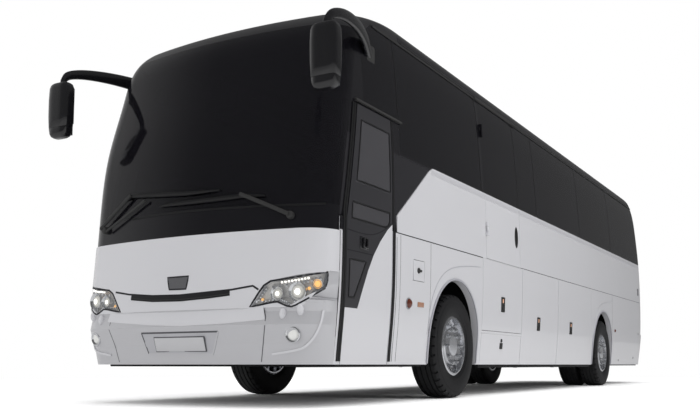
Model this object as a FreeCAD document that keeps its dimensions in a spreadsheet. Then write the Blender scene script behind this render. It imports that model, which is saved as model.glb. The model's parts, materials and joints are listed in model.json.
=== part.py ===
import FreeCAD, Part
import Sketcher
import math
import os
import re

V = FreeCAD.Vector
ALONG_X = FreeCAD.Rotation(V(0, 0, 1), V(1, 0, 0))
ALONG_Y = FreeCAD.Rotation(V(0, 0, 1), V(0, 1, 0))

# A two-axle coach bus with the driver on the right and the passenger door on the left.
# Frame: the origin is under the middle of the vehicle, +Z up, the nose towards -Y, the door side towards +X.
# Lengths are in millimetres and angles in degrees. "Ahead" and "back" are counted from the front axle.

SIZES = (
    # The whole vehicle
    ("body_length", 12000),
    ("body_width", 2550),
    ("front_overhang", 2770),
    ("wheel_base", 6080),
    ("mirror_reach", 100),
    ("skirt_height", 335),
    ("roof_height", 3610),
    ("overrun", 40),
    ("seam", 5),
    # Body shell
    ("nose_bow", 5200),
    ("tail_bow", 60000),
    ("nose_corner", 280),
    ("tail_corner", 200),
    ("wall", 55),
    ("skin_proud", 10),
    ("glass_thickness", 8),
    ("belt_height", 1500),
    ("sill_height", 2230),
    ("gutter_height", 3325),
    ("pane_lap", 45),
    ("corner_seam_ahead", 2335),
    ("roof_seam_ahead", 1100),
    ("tail_depth", 300),
    ("bumper_top", 770),
    ("bumper_side_top", 1054),
    ("mask_top", 1385),
    ("glass_low", 1587),
    ("glass_top", 3170),
    ("gutter_tip_ahead", 1760),
    ("gutter_tip_drop", 85),
    ("gutter_front_ahead", 1650),
    ("bumper_corner_ahead", 2627),
    ("bumper_step_ahead", 2452),
    ("lamp_reach", 392),
    ("first_window_back", -1260),
    ("second_window_back", 756),
    ("third_window_back", 1980),
    ("fourth_window_back", 2706),
    ("fifth_window_back", 4800),
    ("sixth_window_back", 6756),
    ("skin_front_ahead", 1344),
    ("skin_front_rise", 150),
    ("skin_knee_ahead", 642),
    ("skin_knee_drop", 40),
    ("skin_sill_ahead", 560),
    ("tail_bumper_top", 900),
    ("nose_zone_ahead", 250),
    ("tail_zone_depth", 1100),
    # Wheel arches
    ("arch_radius", 610),
    ("arch_lift", 50),
    ("wheelhouse_wall", 8),
    ("front_house_inner", 560),
    ("rear_house_inner", 560),
    ("house_top", 1230),
    # Passenger door
    ("door_front_ahead", 2240),
    ("door_rear_ahead", 1430),
    ("door_top", 2500),
    ("door_rake", 200),
    ("door_gap", 10),
    ("leaf_thickness", 45),
    ("door_arm_side", 1130),
    ("door_arm_length", 540),
    ("door_post_ahead", 2040),
    ("door_post_radius", 22),
    ("door_post_low", 450),
    ("door_post_length", 2045),
    ("bearing_half", 30),
    ("bearing_length", 160),
    ("bearing_height", 25),
    ("door_arm_low", 700),
    ("door_arm_high", 1990),
    ("door_arm_section", 36),
    # Emergency door on the left
    ("escape_front", 836),
    ("escape_rear", 1975),
    # Doors in the lower wall
    ("locker_front", 734),
    ("locker_rear", 2050),
    ("locker_split", 694),
    ("hold_middle", 3570),
    ("hold_rear", 5330),
    ("flap_thickness", 30),
    ("hinge_rod", 6),
    ("hinge_clearance", 0.3),
    ("hinge_root", 1.5),
    ("hinge_out", 3),
    ("strip_half", 10),
    ("pillar_half", 30),
    ("escape_pin", 8),
    ("escape_knuckle", 15),
    ("escape_hinge_length", 150),
    ("fuel_front_ahead", 1017),
    ("fuel_rear_ahead", 771),
    ("fuel_low", 1100),
    ("fuel_top", 1297),
    ("engine_door_half", 800),
    ("engine_door_low", 930),
    ("engine_door_top", 1700),
    ("rear_window_half", 980),
    ("rear_window_low", 2150),
    ("rear_window_top", 3130),
    ("rear_window_lean", 58),
    ("tail_lamp_low", 1000),
    ("tail_lamp_top", 1500),
    # Wheels
    ("tyre_radius", 522),
    ("tyre_width", 290),
    ("bead_radius", 284),
    ("tread_half", 125),
    ("rim_lip", 14),
    ("rim_width", 230),
    ("rim_wall", 12),
    ("hub_radius", 105),
    ("bolt_circle", 167.5),
    ("hand_hole", 23),
    ("hand_circle", 232),
    ("hand_hole_count", 10),
    ("shoulder_drop", 12),
    ("shoulder_width", 25),
    ("tyre_face", 1250),
    ("twin_spacing", 335),
    # Steering
    ("kingpin_offset", 190),
    ("kingpin_radius", 24),
    ("spindle_radius", 40),
    ("running_clearance", 0.05),
    ("steer_arm", 170),
    ("track_rod_radius", 18),
    ("rod_drop", 142),
    ("rod_pin", 8),
    ("rod_pin_gap", 1),
    ("rod_pin_length", 60),
    ("kingpin_half", 130),
    ("beam_half", 55),
    ("beam_rise", 60),
    ("knuckle_half", 45),
    ("boss_radius", 41),
    ("knuckle_gap_rise", 68),
    ("knuckle_plate", 50),
    ("knuckle_reach", 118),
    ("spine_out", 50),
    ("spine_thickness", 25),
    ("stub_length", 257),
    ("steer_arm_half", 20),
    ("steer_arm_thickness", 30),
    # Rear axle
    ("casing_gap", 20),
    ("final_drive_half", 150),
    ("final_drive_radius", 210),
    ("pad_half", 50),
    ("pad_drop", 15),
    ("pad_height", 60),
    ("spring_radius", 100),
    ("spring_side", 370),
    ("spring_ahead", 330),
    ("spring_back", 240),
    # Floors and frame
    ("floor_height", 1450),
    ("floor_thickness", 40),
    ("cab_floor", 1010),
    ("hold_floor", 520),
    ("rail_height", 160),
    ("rail_width", 80),
    ("rail_half", 430),
    ("rail_low", 800),
    ("rail_front_ahead", 1080),
    ("nose_rail_side", 905),
    ("front_cross_back", 350),
    ("rear_cross_back", 500),
    ("front_post_ahead", 900),
    ("front_post_back", 250),
    ("rear_post_ahead", 400),
    ("rear_post_back", 1100),
    ("bulkhead_thickness", 40),
    ("bulkhead_gap", 10),
    ("deck_front_ahead", 1150),
    ("cab_deck_inset", 60),
    ("cab_deck_side", 150),
    ("step_base", 420),
    ("step_lap", 20),
    ("step_deep", 930),
    ("step_run", 700),
    ("step_back", 200),
    # Engine, tank and exhaust
    ("engine_half", 350),
    ("engine_back", 1200),
    ("engine_low", 480),
    ("engine_length", 1250),
    ("engine_height", 820),
    ("tank_gap", 20),
    ("tank_ahead", 1100),
    ("tank_low", 420),
    ("tank_width", 560),
    ("tank_length", 440),
    ("exhaust_side", 800),
    ("exhaust_back", 1500),
    ("pipe_height", 470),
    ("pipe_radius", 50),
    ("pipe_length", 1450),
    ("silencer_height", 560),
    ("silencer_radius", 160),
    ("silencer_length", 700),
    ("strap_half", 30),
    # Inside
    ("aisle_half", 230),
    ("seat_width", 450),
    ("seat_height", 430),
    ("seat_depth", 430),
    ("seat_back", 720),
    ("seat_thickness", 110),
    ("seat_pitch", 780),
    ("seat_rows", 11),
    ("seat_lean", 99),
    ("seat_head", 77),
    ("foot_front", 150),
    ("foot_rear", 270),
    ("first_row_ahead", 350),
    ("rack_width", 420),
    ("rack_ahead", 900),
    ("rack_drop", 330),
    ("rack_thickness", 60),
    ("dash_reach", 300),
    ("dash_rise", 180),
    ("dash_side", 100),
    ("dash_length", 520),
    ("dash_height", 360),
    ("wheel_rim_radius", 235),
    ("wheel_rim_bar", 14),
    ("column_radius", 30),
    ("column_length", 665),
    ("column_ahead", 2132),
    ("column_lean", 285),
    ("column_rise", 610),
    ("driver_side", 720),
    ("driver_half", 245),
    ("driver_ahead", 1720),
    ("driver_depth", 480),
    ("driver_lap", 60),
    ("driver_base_height", 250),
    # Roof
    ("roof_unit_length", 2600),
    ("roof_unit_half", 620),
    ("roof_unit_height", 120),
    ("roof_unit_ahead", 900),
    ("front_hatch_back", 300),
    ("rear_hatch_back", 800),
    ("hatch_half", 380),
    ("hatch_height", 45),
    # Mirrors
    ("mirror_head_height", 520),
    ("mirror_head_width", 260),
    ("mirror_head_depth", 150),
    ("mirror_side", 1410),
    ("mirror_height", 2630),
    ("mirror_arm_radius", 37),
    ("mirror_head_round", 50),
    # Wipers
    ("wiper_width", 22),
    ("wiper_foot_drop", 60),
    ("wiper_tip_rise", 30),
)

DERIVED = (
    ("nose_y", "mirror_reach / 2 - body_length / 2"),
    ("tail_y", "nose_y + body_length"),
    ("front_axle_y", "nose_y + front_overhang"),
    ("rear_axle_y", "front_axle_y + wheel_base"),
    ("half_width", "body_width / 2"),
    ("base_half", "half_width - skin_proud"),
    ("tail_seam_y", "tail_y - tail_depth"),
    ("nose_zone_y", "front_axle_y - nose_zone_ahead"),
    ("tail_zone_y", "tail_y - tail_zone_depth"),
    ("rail_top", "rail_low + rail_height"),
    ("floor_low", "floor_height - floor_thickness"),
    ("wheel_x", "tyre_face - tyre_width / 2"),
    ("twin_x", "wheel_x - twin_spacing"),
    ("kingpin_x", "wheel_x - kingpin_offset"),
    ("lining", "half_width - skin_proud - wall"),
)

doc = FreeCAD.newDocument("Coach")
sheet = doc.addObject("Spreadsheet::Sheet", "Sizes")
for row, (alias, number) in enumerate(SIZES, start=1):
    sheet.set(f"A{row}", alias)
    sheet.set(f"B{row}", str(number))
    sheet.setAlias(f"B{row}", alias)
doc.recompute()

SHEET_NAMES = {alias for alias, number in SIZES}
DERIVED_NAMES = {alias for alias, text in DERIVED}


def qualified(text):
    """Name the sheet or the derived places in front of each alias in an expression."""
    def owner(match):
        word = match.group()
        if word in SHEET_NAMES:
            return "Sizes." + word
        if word in DERIVED_NAMES:
            return "Places." + word
        return word
    return re.sub(r"[a-z_]+", owner, text)


places = doc.addObject("App::VarSet", "Places")
for alias, text in DERIVED:
    places.addProperty("App::PropertyFloat", alias)
    places.setExpression(alias, qualified(text))
doc.recompute()

size = {alias: float(sheet.get(alias)) for alias, number in SIZES}
size.update({alias: float(getattr(places, alias)) for alias, text in DERIVED})

PARTS = []


def keep(item, label):
    """Give a sub-part its name and put it on the list of what is written out."""
    item.Label = label
    PARTS.append(item)
    return item


def bind(item, prop, text):
    """Tie one property to an expression."""
    item.setExpression(prop, qualified(text))


def place(item, x, y, z):
    """Tie an object's position to three expressions."""
    for axis, text in (("x", x), ("y", y), ("z", z)):
        bind(item, f"Placement.Base.{axis}", text)


def box(name, x, y, z, wide, deep, high):
    """A block from its lowest corner and its three sizes."""
    item = doc.addObject("Part::Box", name)
    bind(item, "Length", wide)
    bind(item, "Width", deep)
    bind(item, "Height", high)
    place(item, x, y, z)
    return item


def cylinder(name, x, y, z, radius, length, turn=None):
    """A round bar from the middle of its first end."""
    item = doc.addObject("Part::Cylinder", name)
    if turn is not None:
        item.Placement = FreeCAD.Placement(V(), turn)
    bind(item, "Radius", radius)
    bind(item, "Height", length)
    place(item, x, y, z)
    return item


def fuse(name, items):
    """One solid from several that touch."""
    item = doc.addObject("Part::MultiFuse", name)
    item.Shapes = items
    return item


def group(name, items):
    """Like pieces that don't touch, kept together."""
    item = doc.addObject("Part::Compound", name)
    item.Links = items
    return item


def cut(name, base, tools):
    """A solid less one or more others."""
    item = doc.addObject("Part::Cut", name)
    item.Base = base
    item.Tool = tools[0] if len(tools) == 1 else group(name + "_tools", tools)
    return item


def sketch_on(body, role, name, corners, circles=()):
    """A closed outline on one of a body's planes, with each corner tied to expressions."""
    sketch = body.newObject("Sketcher::SketchObject", name)
    plane = [item for item in body.Origin.OriginFeatures if item.Role == role][0]
    sketch.AttachmentSupport = [(plane, "")]
    sketch.MapMode = "FlatFace"
    count = len(corners)
    for index in range(count):
        first = V(index, index * index, 0)
        last = V(index + 1, (index + 1) ** 2, 0)
        sketch.addGeometry(Part.LineSegment(first, last), False)
    for index in range(count):
        following = (index + 1) % count
        sketch.addConstraint(Sketcher.Constraint("Coincident", index, 2, following, 1))
    for index, (across, up) in enumerate(corners):
        for kind, text in (("DistanceX", across), ("DistanceY", up)):
            number = sketch.addConstraint(Sketcher.Constraint(kind, -1, 1, index, 1, 1.0 + index))
            bind(sketch, f"Constraints[{number}]", text)
    for across, up, radius in circles:
        ring = sketch.addGeometry(Part.Circle(V(1, 1, 0), V(0, 0, 1), 1), False)
        number = sketch.addConstraint(Sketcher.Constraint("Radius", ring, 1.0))
        bind(sketch, f"Constraints[{number}]", radius)
        for kind, text in (("DistanceX", across), ("DistanceY", up)):
            number = sketch.addConstraint(Sketcher.Constraint(kind, -1, 1, ring, 3, 1.0))
            bind(sketch, f"Constraints[{number}]", text)
    return sketch


def turned_body(name, corners):
    """A ring or shaft turned about the local X axis from its half section."""
    body = doc.addObject("PartDesign::Body", name)
    sketch = sketch_on(body, "XY_Plane", name + "_section", corners)
    turn = body.newObject("PartDesign::Revolution", name + "_turn")
    turn.Profile = sketch
    turn.ReferenceAxis = (sketch, ["H_Axis"])
    turn.Angle = 360
    return body


# Body shell
# Each level of the body, from the skirt to the crown: its height, its half width, how far its nose and its
# tail
# stand back, its corner radius, and how much of a wall's thickness is taken downwards there instead of
# inwards.
LEVEL_SHARES = (
    (0.000, 0.947, 0.0325, 0.035, 1.00, 0.00),
    (0.111, 0.975, 0.0080, 0.010, 1.00, 0.00),
    (0.234, 0.994, 0.0125, 0.000, 1.00, 0.00),
    (0.356, 1.000, 0.0270, 0.000, 1.00, 0.00),
    (0.579, 0.996, 0.0580, 0.009, 1.00, 0.00),
    (0.753, 0.971, 0.1120, 0.022, 1.04, 0.00),
    (0.866, 0.945, 0.1660, 0.041, 1.08, 0.05),
    (0.913, 0.926, 0.2350, 0.057, 1.25, 0.20),
    (0.936, 0.914, 0.3070, 0.073, 1.50, 0.45),
    (0.957, 0.877, 0.4000, 0.098, 1.86, 0.75),
    (0.979, 0.790, 0.5400, 0.125, 2.30, 0.93),
    (0.992, 0.617, 0.6600, 0.150, 2.28, 0.99),
    (1.000, 0.316, 0.7400, 0.185, 1.28, 1.00),
)
# The bumper's own levels: height, and how far its face stands back.
BUMPER_SHARES = (
    (0.000, 0.0290),
    (0.050, 0.0165),
    (0.093, 0.0000),
    (0.124, 0.0110),
    (0.150, 0.0030),
)


def end_points(half, face_y, inward, bow, corner, level):
    """Where a bowed end meets its corner arc, the arc's middle, and where the straight side starts."""
    inner = half - corner
    drop = bow - math.sqrt((bow - corner) ** 2 - inner ** 2)
    centre = V(inner, face_y + inward * drop, level)
    bow_centre = V(0, face_y + inward * bow, level)
    meet = bow_centre + (centre - bow_centre).normalize() * bow
    side = V(half, centre.y, level)
    middle = centre + ((meet - centre) + (side - centre)).normalize() * corner
    return meet, middle, side


def across(point):
    """The same point on the right-hand side."""
    return V(-point.x, point.y, point.z)


def plan_wire(level, half, nose, tail, nose_corner, tail_corner):
    """One level of the body seen from above: bowed ends, round corners and straight sides."""
    nose_meet, nose_mid, nose_side = end_points(half, nose, 1, size["nose_bow"], nose_corner, level)
    tail_meet, tail_mid, tail_side = end_points(half, tail, -1, size["tail_bow"], tail_corner, level)
    edges = (
        Part.Arc(across(nose_meet), V(0, nose, level), nose_meet),
        Part.Arc(nose_meet, nose_mid, nose_side),
        Part.LineSegment(nose_side, tail_side),
        Part.Arc(tail_side, tail_mid, tail_meet),
        Part.Arc(tail_meet, V(0, tail, level), across(tail_meet)),
        Part.Arc(across(tail_meet), across(tail_mid), across(tail_side)),
        Part.LineSegment(across(tail_side), across(nose_side)),
        Part.Arc(across(nose_side), across(nose_mid), across(nose_meet)),
    )
    return Part.Wire([edge.toShape() for edge in edges])


def body_form(inset, drop=0.0):
    """The whole body as one solid, set in by a thickness, its lowest level lowered by a drop."""
    tall = size["roof_height"] - size["skirt_height"]
    rear_overhang = size["body_length"] - size["front_overhang"] - size["wheel_base"]
    wires = []
    for high, wide, nose_back, tail_back, round_share, lift in LEVEL_SHARES:
        sideways = inset * math.sqrt(1 - lift * lift)
        level = size["skirt_height"] + tall * high - inset * lift
        if high == 0:
            level -= drop
        half = size["base_half"] * wide - sideways
        nose = size["nose_y"] + size["skin_proud"] + size["front_overhang"] * nose_back + sideways
        tail = size["tail_y"] - size["skin_proud"] - rear_overhang * tail_back - sideways
        nose_corner = size["nose_corner"] * round_share - sideways
        tail_corner = max(size["tail_corner"] * round_share, size["wall"] * 2) - sideways
        wires.append(plan_wire(level, half, nose, tail, nose_corner, tail_corner))
    return Part.makeLoft(wires, True, False)


def side_half(level_share):
    """The half width of the outer skin at a share of the body's height."""
    for low, high in zip(LEVEL_SHARES, LEVEL_SHARES[1:]):
        if low[0] <= level_share <= high[0]:
            part = (level_share - low[0]) / (high[0] - low[0])
            return size["base_half"] * (low[1] + part * (high[1] - low[1])) + size["skin_proud"]
    return size["half_width"]


def bumper_form():
    """The front bumper's solid: sharp folds from level to level."""
    tall = size["roof_height"] - size["skirt_height"]
    wires = []
    for high, back in BUMPER_SHARES:
        level = size["skirt_height"] + tall * high
        nose = size["nose_y"] + size["front_overhang"] * back
        wires.append(plan_wire(level, side_half(high), nose, size["tail_seam_y"], size["nose_corner"],
                               size["tail_corner"]))
    return Part.makeLoft(wires, True, True)


def prism(points, low_x, high_x):
    """An outline in the side view, as (y, z) pairs, pulled across the vehicle."""
    corners = [V(low_x, y, z) for y, z in points]
    face = Part.Face(Part.makePolygon(corners + corners[:1]))
    return face.extrude(V(high_x - low_x, 0, 0))


def front_prism(points, low_y, high_y):
    """An outline in the front view, as (x, z) pairs, pulled along the vehicle."""
    corners = [V(x, low_y, z) for x, z in points]
    face = Part.Face(Part.makePolygon(corners + corners[:1]))
    return face.extrude(V(0, high_y - low_y, 0))


def rectangle(y_low, y_high, z_low, z_high):
    """The four corners of an upright rectangle in the side view."""
    return [(y_low, z_low), (y_high, z_low), (y_high, z_high), (y_low, z_high)]


def fixed(shape, label):
    """A shell panel, from its finished shape."""
    item = doc.addObject("Part::Feature", label)
    item.Shape = shape
    item.Placement = FreeCAD.Placement()
    return keep(item, label)


def from_axle(back):
    """A place along the vehicle, counted back from the front axle."""
    return size["front_axle_y"] + back


far = size["half_width"] + size["overrun"]
low = size["skirt_height"] - size["overrun"]
high = size["roof_height"] + size["overrun"]
nose = size["nose_y"] - size["overrun"]
tail = size["tail_y"] + size["overrun"]
belt = size["belt_height"]
sill = size["sill_height"]
gutter = size["gutter_height"]

FORMS = {}


def middle_form(whole):
    """The straight middle of the body: its side profile pulled along the vehicle."""
    side_face = max(whole.Faces, key=lambda face: face.CenterOfMass.x)
    profile = side_face.Surface.uIso(side_face.ParameterRange[0])
    for number, pole in enumerate(profile.getPoles(), start=1):
        profile.setPole(number, V(pole.x, size["nose_zone_y"], pole.z))
    left = profile.toShape()
    right = left.mirror(V(0, 0, 0), V(1, 0, 0))
    first, last = profile.StartPoint, profile.EndPoint
    outline = Part.Wire(Part.__sortEdges__([left, Part.makeLine(last, across(last)), right,
                                            Part.makeLine(across(first), first)]))
    return Part.Face(outline).extrude(V(0, size["tail_zone_y"] - size["nose_zone_y"], 0))


def zone_form(zone, inset):
    """The nose, the middle or the tail of the body, set in by a thickness."""
    if (zone, inset) not in FORMS:
        whole = body_form(inset, 0.0 if inset <= 0 else size["overrun"])
        FORMS["middle", inset] = middle_form(whole)
        room = size["body_length"]
        for name, start in (("nose", size["nose_zone_y"] - room), ("tail", size["tail_zone_y"])):
            block = Part.makeBox(room, room, room, V(-room / 2, start, 0))
            FORMS[name, inset] = whole.common(block)
    return FORMS[zone, inset]


def layer(outer, inner, region, zones=("nose", "middle", "tail")):
    """The part of the body's shell between two insets that lies in a region."""
    pieces = []
    for zone in zones:
        piece = zone_form(zone, outer).common(region)
        if piece.Solids:
            pieces.append(piece.cut(zone_form(zone, inner)))
    if len(pieces) == 1:
        return pieces[0]
    return pieces[0].fuse(pieces[1:]).removeSplitter()


# Insets from the black surface: the white skins stand proud of it
proud = -size["skin_proud"]
wall = size["wall"]
glass = size["glass_thickness"]
leaf_depth = size["leaf_thickness"]
flap_depth = size["flap_thickness"] - size["skin_proud"]

corner_seam = from_axle(-size["corner_seam_ahead"])
roof_seam = from_axle(-size["roof_seam_ahead"])
tail_seam = size["tail_seam_y"]
# The rear edge of the windscreen, from its foot up to the gutter's front end: ahead of the axle, and height.
SCREEN_EDGE_SHARES = ((0.996, 0.000), (0.960, 0.290), (0.852, 0.900), (0.835, 1.000))


def screen_edge(extra=0.0):
    """The raked line between the windscreen and the side wall, moved back by an extra."""
    tall = size["glass_top"] - size["glass_low"]
    return [(from_axle(-size["corner_seam_ahead"] * ahead) + extra, size["glass_low"] + tall * up)
            for ahead, up in SCREEN_EDGE_SHARES]


edge = screen_edge()
screen_outline = [(nose, size["glass_low"])] + edge + [(nose, size["glass_top"])]
cap_outline = [(nose, size["glass_top"]), edge[-1],
               (from_axle(-size["gutter_tip_ahead"]), gutter - size["gutter_tip_drop"]),
               (from_axle(-size["gutter_front_ahead"]), gutter), (roof_seam, gutter), (roof_seam, high),
               (nose, high)]
scuttle_outline = [(nose, size["mask_top"]), (corner_seam, size["mask_top"]), (corner_seam, belt), edge[0],
                   (nose, size["glass_low"])]
bumper_edge = [(nose, size["bumper_top"]), (from_axle(-size["bumper_corner_ahead"]), size["bumper_top"]),
               (from_axle(-size["bumper_step_ahead"]), size["bumper_side_top"]),
               (corner_seam, size["bumper_side_top"])]
mask_outline = bumper_edge + [(corner_seam, size["mask_top"]), (nose, size["mask_top"])]
bumper_outline = bumper_edge[::-1] + [(nose, low), (corner_seam, low)]
upper_outline = [(corner_seam, belt), edge[0], edge[1], edge[2], edge[3], cap_outline[2], cap_outline[3],
                 (tail_seam, gutter), (tail_seam, belt)]

# Arches
arch_centre_z = size["tyre_radius"] + size["arch_lift"]


def arch_cut(axle_y, x_low, x_high):
    """The opening over one wheel: a round top on straight sides."""
    radius = size["arch_radius"]
    round_top = Part.makeCylinder(radius, x_high - x_low, V(x_low, axle_y, arch_centre_z), V(1, 0, 0))
    sides = prism(rectangle(axle_y - radius, axle_y + radius, low, arch_centre_z), x_low, x_high)
    return round_top.fuse(sides)


# Openings in the walls, as outlines in the side view
def door_outline(margin):
    """The passenger door's edge, grown outwards by a margin."""
    front = from_axle(-size["door_front_ahead"]) - margin
    rear = from_axle(-size["door_rear_ahead"]) + margin
    raked = front + size["door_rake"]
    return [(front, low), (front, belt), (raked, size["door_top"] + margin),
            (rear, size["door_top"] + margin),
            (rear, low)]


def flap_outline(front, rear, bottom, top, margin):
    """A lower-wall door's edge, set in from its opening by a margin."""
    return rectangle(from_axle(front) + margin, from_axle(rear) - margin, bottom + margin, top - margin)


def outer_x(level):
    """How far out the lower wall's outer face stands at a height."""
    share = (level - size["skirt_height"]) / (size["roof_height"] - size["skirt_height"])
    return side_half(share)


def rod(front, rear, top, side, radius, reach):
    """The hinge rod along the outer top edge of a lower-wall door."""
    start = V(side * (outer_x(top) - size["hinge_out"]), from_axle(front) - reach,
              top - size["hinge_rod"] + size["hinge_root"])
    return Part.makeCylinder(radius, rear - front + 2 * reach, start, V(0, 1, 0))


strip_low = size["locker_split"] - size["strip_half"]
strip_high = size["locker_split"] + size["strip_half"]
LOWER_DOORS = (
    # node, front, rear, bottom, top, side (+1 left, -1 right)
    ("locker_door", size["locker_front"], size["locker_rear"], strip_high, belt, 1),
    ("lower_flap", size["locker_front"], size["locker_rear"], low, strip_low, 1),
    ("luggage_door_left_front", size["locker_rear"], size["hold_middle"], low, belt, 1),
    ("luggage_door_left_rear", size["hold_middle"], size["hold_rear"], low, belt, 1),
    ("luggage_door_right_front", size["locker_rear"], size["hold_middle"], low, belt, -1),
    ("luggage_door_right_rear", size["hold_middle"], size["hold_rear"], low, belt, -1),
)
lower_openings = {1: [], -1: []}
for label, front, rear, bottom, top, side in LOWER_DOORS:
    spans = sorted((side * (size["lining"] - size["overrun"]), side * far))
    lower_openings[side].append(prism(flap_outline(front, rear, bottom, top, 0.0), *spans))
    leaf = layer(proud, flap_depth, prism(flap_outline(front, rear, bottom, top, size["seam"]), *spans),
                 ("middle",))
    groove = rod(front, rear, top, side, size["hinge_rod"] + size["hinge_clearance"], size["overrun"])
    fixed(leaf.cut(groove), label)

# Fuel flap
fuel_margin = size["seam"]
fuel_outline = rectangle(from_axle(-size["fuel_front_ahead"]) + fuel_margin,
                         from_axle(-size["fuel_rear_ahead"]) - fuel_margin,
                         size["fuel_low"] + fuel_margin, size["fuel_top"] - fuel_margin)


def fuel_rod(radius, reach):
    """The upright rod that the fuel flap swings on, at its front edge."""
    start = V(outer_x(size["fuel_top"]) + size["hinge_root"],
              from_axle(-size["fuel_front_ahead"]) + size["hinge_root"],
              size["fuel_low"] - reach)
    return Part.makeCylinder(radius, size["fuel_top"] - size["fuel_low"] + 2 * reach, start)


fuel_leaf = layer(proud, flap_depth, prism(fuel_outline, size["aisle_half"], far), ("nose",))
fixed(fuel_leaf.cut(fuel_rod(size["hinge_rod"] / 2 + size["hinge_clearance"], size["overrun"])), "fuel_flap")

# Lower walls, with the pillars behind the joints of their doors
for side, label in ((1, "left_lower_wall"), (-1, "right_lower_wall")):
    spans = sorted((side * size["aisle_half"], side * far))
    panel = layer(proud, wall, prism(rectangle(corner_seam, tail_seam, low, belt), *spans))
    cuts = list(lower_openings[side])
    cuts.append(arch_cut(size["front_axle_y"], *spans))
    cuts.append(arch_cut(size["rear_axle_y"], *spans))
    if side == 1:
        cuts.append(prism(door_outline(0.0), *spans))
        cuts.append(prism(rectangle(from_axle(-size["fuel_front_ahead"]), from_axle(-size["fuel_rear_ahead"]),
                                    size["fuel_low"], size["fuel_top"]), *spans))
    panel = panel.cut(cuts)
    extras = []
    for back in (size["locker_rear"], size["hold_middle"]):
        if side == -1 and back == size["locker_rear"]:
            continue
        middle_y = from_axle(back)
        extras.append(layer(flap_depth + size["seam"], wall,
                            prism(rectangle(middle_y - size["pillar_half"], middle_y + size["pillar_half"],
                                            low, belt),
                                  *spans), ("middle",)))
    if side == 1:
        extras.append(fuel_rod(size["hinge_rod"] / 2, 0.0))
        extras.append(rod(size["locker_front"], size["locker_rear"] - size["seam"], strip_low, side,
                          size["hinge_rod"], 0.0))
    fixed(panel.fuse(extras), label)

# Panes, as outlines in the side view; the first list is the left side's and the second the right side's
top_rail = gutter - size["seam"]
foot = sill + size["seam"]
door_head = size["door_top"] + size["pane_lap"]


WINDOW_SEAMS = tuple(from_axle(size[order + "_window_back"])
                     for order in ("first", "second", "third", "fourth", "fifth", "sixth"))
left_panes = [
    [(edge[2][0] + size["pane_lap"] * 2, door_head), (WINDOW_SEAMS[0], door_head),
     (WINDOW_SEAMS[0], top_rail),
     (cap_outline[3][0], top_rail), (cap_outline[2][0], cap_outline[2][1] - size["seam"]),
     (edge[3][0] + size["pane_lap"], size["glass_top"] - size["pane_lap"])],
]
right_panes = [
    [(edge[1][0] + size["pane_lap"] * 3, size["glass_low"] + size["pane_lap"] * 5), (WINDOW_SEAMS[0], foot),
     (WINDOW_SEAMS[0], top_rail), (cap_outline[3][0], top_rail),
     (cap_outline[2][0], cap_outline[2][1] - size["seam"]),
     (edge[3][0] + size["pane_lap"], size["glass_top"] - size["pane_lap"])],
]
for front, rear in zip(WINDOW_SEAMS, WINDOW_SEAMS[1:] + (None,)):
    rear_y = tail_seam - size["pane_lap"] if rear is None else rear - size["seam"]
    outline = rectangle(front + size["seam"], rear_y, foot, top_rail)
    right_panes.append(outline)
    if front != WINDOW_SEAMS[1]:
        left_panes.append(outline)


def shrunk(points, margin):
    """An outline drawn in towards its middle by about a margin."""
    mid_y = sum(point[0] for point in points) / len(points)
    mid_z = sum(point[1] for point in points) / len(points)
    return [(y + math.copysign(margin, mid_y - y), z + math.copysign(margin, mid_z - z)) for y, z in points]


# Emergency door
escape_front = from_axle(size["escape_front"])
escape_rear = from_axle(size["escape_rear"])
escape_low = belt + size["seam"]
escape_top = gutter - size["seam"]


escape_span = (size["aisle_half"], far)
escape_pane = rectangle(escape_front + size["pane_lap"] / 2, escape_rear - size["pane_lap"] / 2, foot,
                        top_rail)
leaf_span = escape_front + size["seam"], escape_rear - size["seam"]
waist_part = layer(proud, leaf_depth, prism(rectangle(*leaf_span, escape_low, sill), *escape_span),
                   ("middle",))
upper_part = layer(0.0, leaf_depth, prism(rectangle(*leaf_span, sill, escape_top), *escape_span), ("middle",))
escape_leaf = waist_part.fuse(upper_part)
escape_leaf = escape_leaf.cut(layer(proud, glass, prism(escape_pane, *escape_span), ("middle",)))
escape_leaf = escape_leaf.cut(prism(shrunk(escape_pane, size["pane_lap"]), *escape_span))
# Its hinges stand outside the curve of the wall, on one leaning line at the door's front edge: half width as
# a
# share of the body's, and height as a share of the door's own.
HINGE_LINE_SHARES = ((1.0245, 0.055), (0.9608, 0.935))
HINGE_PLACE_SHARES = (0.14, 0.84)
escape_tall = escape_top - escape_low


def hinge_point(up):
    """A point of the hinge line at a share of its length."""
    (foot_wide, foot_up), (head_wide, head_up) = HINGE_LINE_SHARES
    foot_point = V(size["half_width"] * foot_wide, escape_front, escape_low + escape_tall * foot_up)
    head_point = V(size["half_width"] * head_wide, escape_front, escape_low + escape_tall * head_up)
    return foot_point + (head_point - foot_point) * up


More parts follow.
